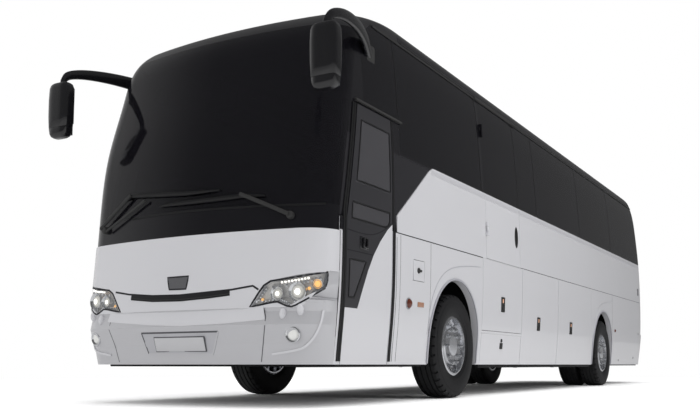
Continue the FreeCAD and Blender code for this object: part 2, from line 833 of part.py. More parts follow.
hinge_way = (hinge_point(1) - hinge_point(0)).normalize()
plate_wide = size["pane_lap"] / 2 - size["seam"]
plate_deep = size["leaf_thickness"] + size["escape_knuckle"]
escape_pins = []
for up, bite in zip(HINGE_PLACE_SHARES, (0.0, glass)):
    middle = hinge_point(up)
    half = hinge_way * (size["escape_hinge_length"] / 2)
    third = hinge_way * (size["escape_hinge_length"] / 6)
    gap = hinge_way * size["hinge_root"]
    shell = zone_form("middle", bite)
    pin = Part.makeCylinder(size["escape_pin"], size["escape_hinge_length"], middle - half, hinge_way)
    bore = Part.makeCylinder(size["escape_pin"] + size["hinge_clearance"], size["escape_hinge_length"],
                             middle - half, hinge_way)
    knuckle = Part.makeCylinder(size["escape_knuckle"], (third * 2 - gap * 2).Length, middle - third + gap,
                                hinge_way)
    plate = Part.makeBox(plate_deep, plate_wide, knuckle.BoundBox.ZLength - size["escape_knuckle"],
                         V(middle.x - plate_deep, middle.y + size["seam"],
                           middle.z - knuckle.BoundBox.ZLength / 2 + size["escape_knuckle"] / 2))
    escape_leaf = escape_leaf.fuse(knuckle.fuse(plate.cut(shell)).cut(bore))
    for ear_start in (middle - half, middle + third + gap):
        ear = Part.makeCylinder(size["escape_knuckle"], (half - third - gap).Length, ear_start, hinge_way)
        ear_plate = Part.makeBox(plate_deep, plate_wide, ear.BoundBox.ZLength - size["escape_knuckle"] / 2,
                                 V(middle.x - plate_deep, middle.y - plate_wide - size["hinge_root"],
                                   ear_start.z + size["escape_knuckle"] / 4))
        pin = pin.fuse([ear, ear_plate.cut(shell)])
    escape_pins.append(pin)
fixed(escape_leaf, "emergency_door")
fixed(layer(0.0, glass, prism(shrunk(escape_pane, size["seam"]), *escape_span), ("middle",)),
      "emergency_door_glass")

post_top = size["door_post_low"] + size["door_post_length"]

# Upper walls, with their panes let into their outer face, and the white waist skins below the panes
skin_pieces = []
pane_pieces = []
for side, label, panes in ((1, "left_upper_wall", left_panes), (-1, "right_upper_wall", right_panes)):
    span = sorted((side * size["aisle_half"], side * far))
    panel = layer(0.0, wall, prism(upper_outline, *span))
    recesses = [layer(proud, glass, prism(outline, *span)) for outline in panes]
    holes = [prism(shrunk(outline, size["pane_lap"]), *span) for outline in panes]
    if side == 1:
        holes.append(prism(door_outline(0.0), *span))
        holes.append(prism(rectangle(escape_front, escape_rear, belt - size["overrun"],
                                     escape_top + size["seam"]),
                           *span))
    panel = panel.cut(recesses + holes)
    if side == 1:
        shelf = Part.makeBox(size["half_width"] - size["door_arm_side"], size["pane_lap"],
                             size["pane_lap"] / 2,
                             V(size["door_arm_side"] - size["pane_lap"] / 2,
                               from_axle(-size["door_post_ahead"]) - size["pane_lap"] / 2,
                               post_top + size["hinge_clearance"]))
        panel = panel.fuse([escape_pins[1], shelf.common(zone_form("nose", flap_depth))])
    fixed(panel, label)
    for outline in panes:
        pane_pieces.append(layer(0.0, glass, prism(outline, *span)))
    slant = [(from_axle(-size["skin_front_ahead"]), belt),
             (from_axle(-size["skin_front_ahead"]), belt + size["skin_front_rise"]),
             (from_axle(-size["skin_knee_ahead"]), sill - size["skin_knee_drop"]),
             (from_axle(-size["skin_sill_ahead"]), sill), (tail_seam, sill), (tail_seam, belt)]
    skin = layer(proud, 0.0, prism(slant, *span))
    if side == 1:
        skin = skin.cut(prism(rectangle(escape_front, escape_rear, low, high), *span)).fuse(escape_pins[0])
    rear_rod = size["locker_front"] if side == 1 else size["locker_rear"]
    skin_pieces.append(skin.fuse(rod(rear_rod, size["hold_rear"], belt, side, size["hinge_rod"], 0.0)))
solids = []
for piece in skin_pieces:
    solids.extend(piece.Solids)
fixed(Part.makeCompound(solids), "waist_skins")

# Roof and its front cap
wide = (-far, far)
roof_outline = rectangle(roof_seam, tail_seam, gutter, high)
fixed(layer(0.0, wall, prism(cap_outline, *wide), ("nose",)), "roof_front_cap")
fixed(layer(0.0, wall, prism(roof_outline, *wide)), "roof_panel")

# Nose
fixed(layer(0.0, glass, prism(screen_outline, *wide), ("nose",)), "windscreen")
fixed(layer(0.0, wall, prism(scuttle_outline, *wide), ("nose",)), "scuttle_panel")
mask = layer(proud, wall, prism(mask_outline, *wide), ("nose",))
bumper = bumper_form().common(prism(bumper_outline, *wide)).cut(zone_form("nose", wall))

# Lamp openings in the front view: shares of the half width, and heights above the bumper's top
LAMP_SHARES = ((0.541, 0.028), (0.737, 0.14), (0.792, 0.018), (0.949, 0.46), (0.969, 0.56), (0.976, 0.968),
               (0.675, 0.743), (0.627, 0.616))
lamp_rise = size["bumper_side_top"] - size["bumper_top"]


def lamp_outline(side):
    """The headlamp's outline on one side."""
    return [(side * size["half_width"] * wide_share, size["bumper_top"] + lamp_rise * up)
            for wide_share, up in LAMP_SHARES]


lamp_depth = size["nose_y"] + size["lamp_reach"]
lamp_prisms = [front_prism(lamp_outline(side), nose, lamp_depth) for side in (1, -1)]
lamp_face = bumper_form()
lamp_blocks = [lamp_face.common(block).fuse(zone_form("nose", proud).common(block)).cut(zone_form("nose",
                                                                                                  wall))
               for block in lamp_prisms]
mask = mask.cut(lamp_prisms)
bumper = bumper.cut(lamp_prisms)
fixed(mask, "front_mask")
fixed(bumper, "front_bumper")
fixed(Part.makeCompound([block.Solids[0] for block in lamp_blocks]), "headlamps")

# Tail
tail_wall_outline = rectangle(tail_seam, tail, size["tail_bumper_top"], high)
tail_wall = layer(0.0, wall, prism(tail_wall_outline, *wide), ("tail",))


def tail_window(margin):
    """The rear window's block, set in by a margin."""
    half = size["rear_window_half"] - margin
    points = [(-half, size["rear_window_low"] + margin), (half, size["rear_window_low"] + margin),
              (half - size["rear_window_lean"], size["rear_window_top"] - margin),
              (-half + size["rear_window_lean"], size["rear_window_top"] - margin)]
    return front_prism(points, size["tail_seam_y"], tail)


def engine_block_region(margin):
    """The engine door's block in the tail, set in by a margin."""
    half = size["engine_door_half"] - margin
    points = [(-half, size["engine_door_low"] + margin), (half, size["engine_door_low"] + margin),
              (half, size["engine_door_top"] - margin), (-half, size["engine_door_top"] - margin)]
    return front_prism(points, size["tail_seam_y"], tail)


pane_pieces.append(layer(0.0, glass, tail_window(0.0), ("tail",)))
tail_recess = layer(proud, glass, tail_window(0.0), ("tail",))
engine_rod_y = size["tail_y"] - size["skin_proud"] - 2 * size["hinge_root"]
engine_rod_z = size["engine_door_top"] - size["hinge_rod"] + size["hinge_root"]


def engine_rod(radius, reach):
    """The rod that the engine door swings on, along its top edge."""
    half = size["engine_door_half"] + reach
    return Part.makeCylinder(radius, 2 * half, V(-half, engine_rod_y, engine_rod_z), V(1, 0, 0))


tail_wall = tail_wall.cut([tail_recess, tail_window(size["pane_lap"]), engine_block_region(0.0)])
tail_wall = tail_wall.fuse(engine_rod(size["hinge_rod"], size["hinge_rod"]))
engine_leaf = layer(0.0, leaf_depth, engine_block_region(size["seam"]), ("tail",))
engine_leaf = engine_leaf.cut(engine_rod(size["hinge_rod"] + size["hinge_clearance"], size["overrun"]))
fixed(tail_wall, "rear_wall")
fixed(engine_leaf, "engine_door")
tail_bumper_outline = rectangle(tail_seam, tail, low, size["tail_bumper_top"])
fixed(layer(proud, wall, prism(tail_bumper_outline, *wide), ("tail",)), "rear_bumper")

solids = []
for piece in pane_pieces:
    solids.extend(piece.Solids)
fixed(Part.makeCompound(solids), "fixed_windows")

outer_solid = doc.addObject("Part::Feature", "outer_solid")
outer_solid.Shape = body_form(0.0)
room_solid = doc.addObject("Part::Feature", "room_solid")
room_solid.Shape = body_form(size["wall"], size["overrun"])


def inside(name, item):
    """The part of a piece that lies within the walls."""
    common = doc.addObject("Part::Common", name)
    common.Base = item
    common.Tool = room_solid
    return common


# Passenger door leaf
span = (size["aisle_half"], far)
leaf_front = from_axle(-size["door_front_ahead"]) + size["door_gap"]
leaf_rear = from_axle(-size["door_rear_ahead"]) - size["door_gap"]
leaf_top = size["door_top"] - size["door_gap"]
leaf_low = size["skirt_height"]
leaf_outline = [(leaf_front, leaf_low), (leaf_front, belt), (leaf_front + size["door_rake"], leaf_top),
                (leaf_rear, leaf_top), (leaf_rear, leaf_low)]
# The door's three panes: ahead of the front axle as a share of the door's front edge, and height as a share
# of its top
DOOR_PANE_SHARES = (
    ((0.933, 0.728), (0.656, 0.728), (0.656, 0.950), (0.888, 0.950)),
    ((0.969, 0.600), (0.696, 0.600), (0.675, 0.608), (0.661, 0.626), (0.661, 0.664), (0.960, 0.664)),
    ((0.978, 0.344), (0.929, 0.344), (0.846, 0.476), (0.978, 0.476)),
)
door_panes = [[(from_axle(-size["door_front_ahead"] * ahead), size["door_top"] * up) for ahead, up in outline]
              for outline in DOOR_PANE_SHARES]
door_leaf = layer(proud, leaf_depth, prism(leaf_outline, *span), ("nose",))
door_recess = [layer(proud, glass + proud, prism(outline, *span), ("nose",)) for outline in door_panes]
door_holes = [prism(shrunk(outline, size["pane_lap"] / 2), *span) for outline in door_panes]
door_leaf = door_leaf.cut(door_recess + door_holes)
lug_x = size["door_arm_side"]
lug_y = from_axle(-size["door_post_ahead"]) + size["door_arm_length"]
lug_half = size["door_arm_section"]
for level in (size["door_arm_low"], size["door_arm_high"]):
    for offset in (-1, 1):
        lug_low = level + offset * (lug_half / 2 + size["seam"]) - (lug_half / 4 if offset > 0 else lug_half / 4)
        lug = Part.makeBox(size["half_width"] - size["leaf_thickness"] - lug_x + lug_half / 2, lug_half,
                           lug_half / 2,
                           V(lug_x - lug_half / 2, lug_y - lug_half / 2, lug_low))
        door_leaf = door_leaf.fuse(lug.common(zone_form("nose", 0.0)))
    pin = Part.makeCylinder(lug_half / 6, lug_half * 2, V(lug_x, lug_y, level - lug_half))
    door_leaf = door_leaf.fuse(pin)
fixed(door_leaf, "door_leaf")
fixed(Part.makeCompound([piece.Solids[0] for piece in door_recess]), "door_glass")

# Door arms on their upright post
post = cylinder("door_post", "door_arm_side", "front_axle_y - door_post_ahead", "door_post_low",
                "door_post_radius", "door_post_length")
arms = [post]
for number, level in enumerate(("door_arm_low", "door_arm_high")):
    arm = box(f"door_arm_{number}", "door_arm_side - door_arm_section / 2", "front_axle_y - door_post_ahead",
              level + " - door_arm_section / 4", "door_arm_section", "door_arm_length + door_arm_section / 2",
              "door_arm_section / 2")
    arms.append(arm)
arm_solid = fuse("door_arm_solid", arms)
arm_holes = [cylinder("door_arm_bore", "door_arm_side", "front_axle_y - door_post_ahead + door_arm_length",
                      "door_post_low", "door_arm_section / 6 + hinge_clearance", "door_post_length")]
keep(cut("door_arms", arm_solid, arm_holes), "door_arms")

# Wheels
TYRE_SECTION = (
    ("-rim_width / 2", "bead_radius"),
    ("-rim_width / 2", "bead_radius + rim_lip"),
    ("-tyre_width / 2", "(bead_radius + tyre_radius) / 2"),
    ("-tread_half", "tyre_radius - shoulder_drop"),
    ("-tread_half + shoulder_width", "tyre_radius"),
    ("tread_half - shoulder_width", "tyre_radius"),
    ("tread_half", "tyre_radius - shoulder_drop"),
    ("tyre_width / 2", "(bead_radius + tyre_radius) / 2"),
    ("rim_width / 2", "bead_radius + rim_lip"),
    ("rim_width / 2", "bead_radius"),
)
RIM_SECTION = (
    ("-rim_width / 2 - rim_lip", "bead_radius"),
    ("-rim_width / 2 - rim_lip / 2", "bead_radius + rim_lip"),
    ("-rim_width / 2", "bead_radius"),
    ("rim_width / 2", "bead_radius"),
    ("rim_width / 2 + rim_lip / 2", "bead_radius + rim_lip"),
    ("rim_width / 2 + rim_lip", "bead_radius"),
    ("rim_width / 2 + rim_lip", "bead_radius - rim_wall"),
    ("rim_width / 3", "bead_radius - rim_wall * 2"),
    ("rim_width / 3", "bolt_circle + rim_wall * 4"),
    ("rim_width / 2", "bolt_circle + rim_wall * 2"),
    ("rim_width / 2", "spindle_radius + running_clearance"),
    ("rim_width / 2 - rim_wall * 2", "spindle_radius + running_clearance"),
    ("-rim_wall", "spindle_radius + running_clearance"),
    ("-rim_wall", "hub_radius"),
    ("rim_width / 2 - rim_wall * 2", "hub_radius"),
    ("rim_width / 2 - rim_wall * 2", "bolt_circle + rim_wall"),
    ("rim_width / 3 - rim_wall", "bolt_circle + rim_wall * 3"),
    ("rim_width / 3 - rim_wall", "bead_radius - rim_wall * 2"),
    ("-rim_width / 2 - rim_lip", "bead_radius - rim_wall"),
)


def hand_holes(body):
    """A ring of round holes through a rim's disc."""
    sketch = sketch_on(body, "YZ_Plane", body.Name + "_hole", (), (("0", "hand_circle", "hand_hole"),))
    pocket = body.newObject("PartDesign::Pocket", body.Name + "_pocket")
    pocket.Profile = sketch
    pocket.Type = "ThroughAll"
    pocket.Midplane = True
    ring = body.newObject("PartDesign::PolarPattern", body.Name + "_ring")
    ring.Originals = [pocket]
    ring.Axis = ([item for item in body.Origin.OriginFeatures if item.Role == "X_Axis"][0], [""])
    ring.Angle = 360
    bind(ring, "Occurrences", "hand_hole_count")
    body.Tip = ring


def wheel_piece(label, section, x, y, side):
    """A tyre or a rim at its place on an axle."""
    body = turned_body(label + "_body", section)
    if section is RIM_SECTION:
        hand_holes(body)
    if side < 0:
        body.Placement = FreeCAD.Placement(V(), FreeCAD.Rotation(V(0, 0, 1), 180))
    place(body, x, y, "tyre_radius")
    return body


for side, hand in ((1, "left"), (-1, "right")):
    sign = "" if side > 0 else "-"
    front_x = f"{sign}wheel_x"
    keep(wheel_piece(f"tyre_front_{hand}", TYRE_SECTION, front_x, "front_axle_y", side), f"tyre_front_{hand}")
    keep(wheel_piece(f"rim_front_{hand}", RIM_SECTION, front_x, "front_axle_y", side), f"rim_front_{hand}")
    outer = wheel_piece(f"tyre_rear_outer_{hand}", TYRE_SECTION, front_x, "rear_axle_y", side)
    inner = wheel_piece(f"tyre_rear_inner_{hand}", TYRE_SECTION, f"{sign}twin_x", "rear_axle_y", side)
    keep(group(f"tyres_rear_{hand}", [outer, inner]), f"tyres_rear_{hand}")
    outer = wheel_piece(f"rim_rear_outer_{hand}", RIM_SECTION, front_x, "rear_axle_y", side)
    inner = wheel_piece(f"rim_rear_inner_{hand}", RIM_SECTION, f"{sign}twin_x", "rear_axle_y", side)
    keep(group(f"rims_rear_{hand}", [outer, inner]), f"rims_rear_{hand}")

# Front axle, knuckles and track rod
beam = box("axle_beam", "-kingpin_x + beam_rise", "front_axle_y - beam_half", "tyre_radius - beam_rise",
           "2 * kingpin_x - 2 * beam_rise", "2 * beam_half", "2 * beam_rise")
axle_pieces = [beam]
for sign, start in (("", "kingpin_x - 2 * beam_rise"), ("-", "-kingpin_x")):
    axle_pieces.append(cylinder("kingpin", f"{sign}kingpin_x", "front_axle_y", "tyre_radius - kingpin_half",
                                "kingpin_radius", "2 * kingpin_half"))
    axle_pieces.append(cylinder("axle_boss", f"{sign}kingpin_x", "front_axle_y", "tyre_radius - beam_rise",
                                "boss_radius", "2 * beam_rise"))
    axle_pieces.append(box("axle_ear", start, "front_axle_y - boss_radius", "tyre_radius - beam_rise",
                           "2 * beam_rise", "2 * boss_radius", "2 * beam_rise"))
keep(fuse("front_axle", axle_pieces), "front_axle")

for side, hand in ((1, "left"), (-1, "right")):
    sign = "" if side > 0 else "-"
    plate_x = "kingpin_x - knuckle_half" if side > 0 else "-kingpin_x - spine_out - spine_thickness"
    spine_x = "kingpin_x + spine_out" if side > 0 else "-kingpin_x - spine_out - spine_thickness"
    stub_x = "kingpin_x + spine_out" if side > 0 else "-kingpin_x - spine_out - stub_length"
    upper = box(f"knuckle_upper_{hand}", plate_x, "front_axle_y - knuckle_half",
                "tyre_radius + knuckle_gap_rise",
                "knuckle_half + spine_out + spine_thickness", "2 * knuckle_half", "knuckle_plate")
    lower = box(f"knuckle_lower_{hand}", plate_x, "front_axle_y - knuckle_half",
                "tyre_radius - knuckle_reach",
                "knuckle_half + spine_out + spine_thickness", "2 * knuckle_half", "knuckle_plate")
    spine = box(f"knuckle_spine_{hand}", spine_x, "front_axle_y - knuckle_half",
                "tyre_radius - knuckle_reach",
                "spine_thickness", "2 * knuckle_half", "2 * knuckle_reach")
    stub = cylinder(f"spindle_{hand}", stub_x, "front_axle_y", "tyre_radius", "spindle_radius",
                    "stub_length", ALONG_X)
    arm = box(f"steer_arm_{hand}", f"{sign}kingpin_x - steer_arm_half", "front_axle_y + knuckle_half - seam",
              "tyre_radius - knuckle_reach", "2 * steer_arm_half",
              "steer_arm + steer_arm_half - knuckle_half + seam",
              "steer_arm_thickness")
    solid = fuse(f"knuckle_solid_{hand}", [upper, lower, spine, stub, arm])
    bore = cylinder(f"kingpin_bore_{hand}", f"{sign}kingpin_x", "front_axle_y",
                    "tyre_radius - 2 * kingpin_half",
                    "kingpin_radius + running_clearance", "4 * kingpin_half")
    eye = cylinder(f"steer_arm_eye_{hand}", f"{sign}kingpin_x", "front_axle_y + steer_arm",
                   "tyre_radius - 2 * kingpin_half", "rod_pin + rod_pin_gap", "2 * kingpin_half")
    keep(cut(f"knuckle_{hand}", solid, [bore, eye]), f"knuckle_{hand}")

rod_pieces = [cylinder("track_rod_bar", "-kingpin_x", "front_axle_y + steer_arm", "tyre_radius - rod_drop",
                       "track_rod_radius", "2 * kingpin_x", ALONG_X)]
for sign in ("", "-"):
    rod_pieces.append(cylinder("track_rod_pin", f"{sign}kingpin_x", "front_axle_y + steer_arm",
                               "tyre_radius - rod_drop", "rod_pin", "rod_pin_length"))
keep(fuse("track_rod", rod_pieces), "track_rod")

# Rear axle
tube = cylinder("rear_axle_tube", "-twin_x - rim_width / 2", "rear_axle_y", "tyre_radius", "spindle_radius",
                "2 * twin_x + rim_width", ALONG_X)
case = cylinder("axle_casing", "-twin_x + rim_width / 2 + casing_gap", "rear_axle_y", "tyre_radius",
                "spindle_radius * 2", "2 * twin_x - rim_width - 2 * casing_gap", ALONG_X)
spindles = cylinder("rear_spindles", "-wheel_x - rim_width / 4", "rear_axle_y", "tyre_radius",
                    "spindle_radius",
                    "2 * wheel_x + rim_width / 2", ALONG_X)
bowl = cylinder("final_drive", "-final_drive_half", "rear_axle_y", "tyre_radius", "final_drive_radius",
                "2 * final_drive_half", ALONG_X)
pads = [box("jacking_pad", x, "rear_axle_y - pad_half", "tyre_radius - 2 * spindle_radius - pad_drop",
            "2 * pad_half", "2 * pad_half", "pad_height")
        for x in ("rail_half - pad_half", "-rail_half - pad_half")]
keep(fuse("rear_axle", [tube, case, spindles, bowl] + pads), "rear_axle")

# Wheelhouses
houses = []
for axle in ("front", "rear"):
    inner = f"{axle}_house_inner"
    for side in (1, -1):
        name = f"{axle}_house_{'left' if side > 0 else 'right'}"
        x = inner if side > 0 else "-lining"
        shell = box(name + "_outer", x, f"{axle}_axle_y - arch_radius - wheelhouse_wall",
                    "skirt_height + overrun",
                    f"lining - {inner}", "2 * arch_radius + 2 * wheelhouse_wall",
                    "house_top - skirt_height - overrun")
        x = f"{inner} + wheelhouse_wall" if side > 0 else "-lining - overrun"
        room = box(name + "_room", x, f"{axle}_axle_y - arch_radius", "skirt_height - overrun",
                   f"lining - {inner} - wheelhouse_wall + overrun", "2 * arch_radius",
                   "house_top - skirt_height + overrun - wheelhouse_wall")
        tunnel = box(name + "_tunnel", "-lining", f"{axle}_axle_y - arch_radius / 2",
                     "skirt_height - overrun",
                     "2 * lining", "arch_radius", "rail_low - skirt_height + overrun")
        houses.append(cut(name, shell, [room, tunnel]))
keep(inside("wheelhouses", group("house_group", houses)), "wheelhouses")

# Frame
rails = []
for side in ("", "-"):
    x = "rail_half - rail_width / 2" if side == "" else "-rail_half - rail_width / 2"
    rails.append(box("front_rail", x, "front_axle_y - rail_front_ahead", "rail_low", "rail_width",
                     "rail_front_ahead + locker_front", "rail_height"))
    rails.append(box("rear_rail", x, "front_axle_y + hold_rear", "rail_low", "rail_width",
                     "tail_seam_y - front_axle_y - hold_rear", "rail_height"))
    mount_x = "engine_half" if side == "" else "-rail_half"
    for back in ("engine_back + rail_width", "engine_back + engine_length - 2 * rail_width"):
        rails.append(box("engine_mount", mount_x, f"rear_axle_y + {back}", "rail_low",
                         "rail_half - engine_half",
                         "rail_width", "rail_height"))
for x in ("-nose_rail_side", "0"):
    rails.append(box("nose_rail", x, "front_axle_y - corner_seam_ahead", "rail_low", "rail_width",
                     "corner_seam_ahead - rail_front_ahead + rail_width", "rail_height"))
bulkheads = []
for back in ("locker_front", "hold_rear - bulkhead_thickness"):
    bulkheads.append(box("bulkhead", "-rear_house_inner + bulkhead_gap", f"front_axle_y + {back}",
                         "hold_floor - floor_thickness", "2 * rear_house_inner - 2 * bulkhead_gap",
                         "bulkhead_thickness", "floor_low - hold_floor + floor_thickness"))
crosses = []
for spot in ("front_axle_y - rail_front_ahead", "front_axle_y + front_cross_back",
             "rear_axle_y + rear_cross_back",
             "tail_seam_y - rail_width"):
    crosses.append(box("cross_member", "-rail_half", spot, "rail_low", "2 * rail_half", "rail_width",
                       "rail_height"))
for name, ahead in (("side_cross_member", "rail_front_ahead"), ("nose_cross_member", "corner_seam_ahead")):
    crosses.append(box(name, "-nose_rail_side", f"front_axle_y - {ahead}", "rail_low", "nose_rail_side",
                       "rail_width", "rail_height"))
posts = []
for spot in ("front_axle_y - front_post_ahead", "front_axle_y + front_post_back",
             "rear_axle_y - rear_post_ahead",
             "rear_axle_y + rear_post_back", "tail_seam_y - rail_width"):
    for x in ("rail_half - rail_width / 2", "-rail_half - rail_width / 2"):
        posts.append(box("frame_post", x, spot, "rail_top", "rail_width", "rail_width",
                         "floor_low - rail_top"))
keep(fuse("chassis_frame", rails + bulkheads + crosses + posts), "chassis_frame")

hold_panel = box("hold_panel", "-lining", "front_axle_y + locker_front + bulkhead_thickness",
                 "hold_floor - floor_thickness", "2 * lining",
                 "hold_rear - locker_front - 2 * bulkhead_thickness",
                 "floor_thickness")
keep(inside("hold_floor_panel", hold_panel), "hold_floor")
main_floor = box("main_floor", "-lining", "front_axle_y - deck_front_ahead", "floor_low", "2 * lining",
                 "tail_seam_y - front_axle_y + deck_front_ahead", "floor_thickness")
cab_deck = box("cab_deck", "-lining", "front_axle_y - corner_seam_ahead + cab_deck_inset",
               "cab_floor - floor_thickness", "lining + cab_deck_side",
               "corner_seam_ahead - cab_deck_inset - deck_front_ahead + floor_thickness", "floor_thickness")
riser = box("cab_riser", "-lining", "front_axle_y - deck_front_ahead", "cab_floor - floor_thickness",
            "lining + cab_deck_side", "floor_thickness", "floor_height - cab_floor + floor_thickness")

# Entrance steps, rising inwards from the door
treads = []
STEP_COUNT = 4
for number in range(STEP_COUNT):
    share = number / STEP_COUNT
    treads.append(box(f"step_{number}", "cab_deck_side", "front_axle_y - door_front_ahead + step_lap",
                      f"step_base + (floor_low - step_base) * {share} - step_lap",
                      f"step_deep - step_run * {share}",
                      "door_front_ahead - door_rear_ahead + step_back",
                      f"(floor_low - step_base) / {STEP_COUNT} + step_lap"))
bearing = box("post_bearing", "door_arm_side + bearing_half - bearing_length",
              "front_axle_y - door_post_ahead - bearing_half", "door_post_low - bearing_height",
              "bearing_length",
              "2 * bearing_half", "bearing_height - hinge_clearance")
keep(inside("passenger_floor", fuse("floor_and_steps", [main_floor, cab_deck, riser, bearing] + treads)),
     "passenger_floor")

# Engine, tank and exhaust
keep(box("engine_block", "-engine_half", "rear_axle_y + engine_back", "engine_low", "2 * engine_half",
         "engine_length", "engine_height"), "engine_block")
tank = box("fuel_tank_block", "-lining + tank_gap", "front_axle_y - tank_ahead", "tank_low", "tank_width",
           "tank_length", "rail_low - tank_low")
keep(inside("fuel_tank", tank), "fuel_tank")
pipe = cylinder("exhaust_pipe", "-exhaust_side", "rear_axle_y + exhaust_back", "pipe_height", "pipe_radius",
                "pipe_length", ALONG_Y)
drum = cylinder("silencer", "-exhaust_side", "rear_axle_y + exhaust_back + pipe_radius", "silencer_height",
                "silencer_radius", "silencer_length", ALONG_Y)
bracket = box("exhaust_bracket", "-exhaust_side - strap_half",
              "rear_axle_y + exhaust_back + silencer_length / 2",
              "rail_low", "exhaust_side + strap_half - rail_half - rail_width / 2", "2 * strap_half",
              "strap_half")
strap = box("exhaust_strap", "-exhaust_side - strap_half", "rear_axle_y + exhaust_back + silencer_length / 2",
            "silencer_height", "2 * strap_half", "2 * strap_half", "rail_low - silencer_height")
keep(fuse("exhaust", [pipe, drum, bracket, strap]), "exhaust")

# Air springs
springs = []
for axle in ("front", "rear"):
    for spot in ("- spring_ahead", "+ spring_back"):
        for x in ("spring_side", "-spring_side"):
            springs.append(cylinder("air_spring", x, f"{axle}_axle_y {spot}", "tyre_radius + spring_radius",
                                    "spring_radius", "rail_low - tyre_radius - spring_radius"))
keep(group("air_springs", springs), "air_springs")

# Driver's place
dash = box("dashboard_block", "-lining", "front_axle_y - corner_seam_ahead - dash_reach",
           "cab_floor + dash_rise",
           "lining + dash_side", "dash_length", "dash_height")
keep(inside("dashboard", dash), "dashboard")
LEAN = FreeCAD.Rotation(V(1, 0, 0), -25)
column = cylinder("steering_column", "-driver_side", "front_axle_y - column_ahead", "cab_floor",
                  "column_radius",
                  "column_length", LEAN)
ring = doc.addObject("Part::Torus", "steering_ring")
ring.Placement = FreeCAD.Placement(V(), LEAN)
bind(ring, "Radius1", "wheel_rim_radius")
bind(ring, "Radius2", "wheel_rim_bar")
place(ring, "-driver_side", "front_axle_y - column_ahead + column_lean", "cab_floor + column_rise")
spoke = box("steering_spoke", "-driver_side - wheel_rim_radius",
            "front_axle_y - column_ahead + column_lean - wheel_rim_bar",
            "cab_floor + column_rise - wheel_rim_bar", "2 * wheel_rim_radius", "2 * wheel_rim_bar",
            "wheel_rim_bar")
below_deck = box("column_foot_trim", "-driver_side - 2 * column_radius",
                 "front_axle_y - column_ahead - 2 * column_radius", "cab_floor - 2 * column_radius",
                 "4 * column_radius", "4 * column_radius", "2 * column_radius")
keep(cut("steering_wheel", fuse("wheel_and_column", [column, ring, spoke]), [below_deck]), "steering_wheel")
base = box("driver_base", "-driver_side - driver_half", "front_axle_y - driver_ahead + driver_lap",
           "cab_floor",
           "2 * driver_half", "driver_depth - 2 * driver_lap", "driver_base_height")
cushion = box("driver_cushion", "-driver_side - driver_half", "front_axle_y - driver_ahead",
              "cab_floor + driver_base_height", "2 * driver_half", "driver_depth", "seat_thickness")
back = box("driver_back", "-driver_side - driver_half",
           "front_axle_y - driver_ahead + driver_depth - seat_thickness",
           "cab_floor + driver_base_height + seat_thickness", "2 * driver_half", "seat_thickness",
           "seat_back")
keep(fuse("driver_seat", [base, cushion, back]), "driver_seat")

# Passenger seats: double seats in two blocks of rows, each on its own foot
seats = []
for side, name in ((1, "seats_left"), (-1, "seats_right")):
    body = doc.addObject("PartDesign::Body", name)
    seat_sketch = sketch_on(body, "YZ_Plane", name + "_profile", (
        ("foot_front", "0"), ("foot_rear", "0"), ("foot_rear", "seat_height - seat_thickness"),
        ("seat_depth", "seat_height - seat_thickness"),
        ("seat_depth + seat_lean + seat_head", "seat_height + seat_back"),
        ("seat_depth + seat_lean", "seat_height + seat_back"),
        ("seat_depth - seat_head", "seat_height"), ("0", "seat_height"),
        ("0", "seat_height - seat_thickness"),
        ("foot_front", "seat_height - seat_thickness")))
    seat_pad = body.newObject("PartDesign::Pad", name + "_pad")
    seat_pad.Profile = seat_sketch
    bind(seat_pad, "Length", "seat_width * 2")
    seat_pad.Midplane = True
    rows = body.newObject("PartDesign::LinearPattern", name + "_rows")
    rows.Originals = [seat_pad]
    rows.Direction = ([item for item in body.Origin.OriginFeatures if item.Role == "Y_Axis"][0], [""])
    bind(rows, "Length", "seat_pitch * (seat_rows - 1)")
    bind(rows, "Occurrences", "seat_rows")
    body.Tip = rows
    x = "aisle_half + seat_width" if side > 0 else "-aisle_half - seat_width"
    place(body, x, "front_axle_y - first_row_ahead", "floor_height")
    seats.append(body)
keep(group("passenger_seats", seats), "passenger_seats")

racks = []
for x in ("lining - rack_width", "-lining"):
    racks.append(box("luggage_rack", x, "front_axle_y - rack_ahead", "gutter_height - rack_drop",
                     "rack_width",
                     "tail_seam_y - front_axle_y + rack_ahead - rack_thickness", "rack_thickness"))
keep(inside("luggage_racks", group("rack_group", racks)), "luggage_racks")

# Roof unit and hatches
unit_block = box("roof_unit_block", "-roof_unit_half", "rear_axle_y - roof_unit_ahead - roof_unit_length",
                 "roof_height - overrun", "2 * roof_unit_half", "roof_unit_length",
                 "roof_unit_height + overrun")
keep(cut("roof_unit", unit_block, [outer_solid]), "roof_unit")
hatches = []
for spot in ("front_axle_y + front_hatch_back", "rear_axle_y + rear_hatch_back"):
    lid = box("roof_hatch", "-hatch_half", spot, "roof_height - overrun", "2 * hatch_half", "2 * hatch_half",
              "hatch_height + overrun")
    hatches.append(cut("roof_hatch_lid", lid, [outer_solid]))
keep(group("roof_hatches", hatches), "roof_hatches")

# Mirrors: an arm from the corner pillar forward and down to the head
# Places along the left arm: share of the mirror's side, back from the front axle as a share of the corner
# seam,
# and height as a share of the gutter's.
ARM_SHARES = ((0.860, -0.760, 0.918), (0.930, -0.860, 0.925), (0.975, -0.990, 0.922), (0.995, -1.080, 0.912),
              (1.000, -1.160, 0.880), (1.000, -1.180, 0.850))


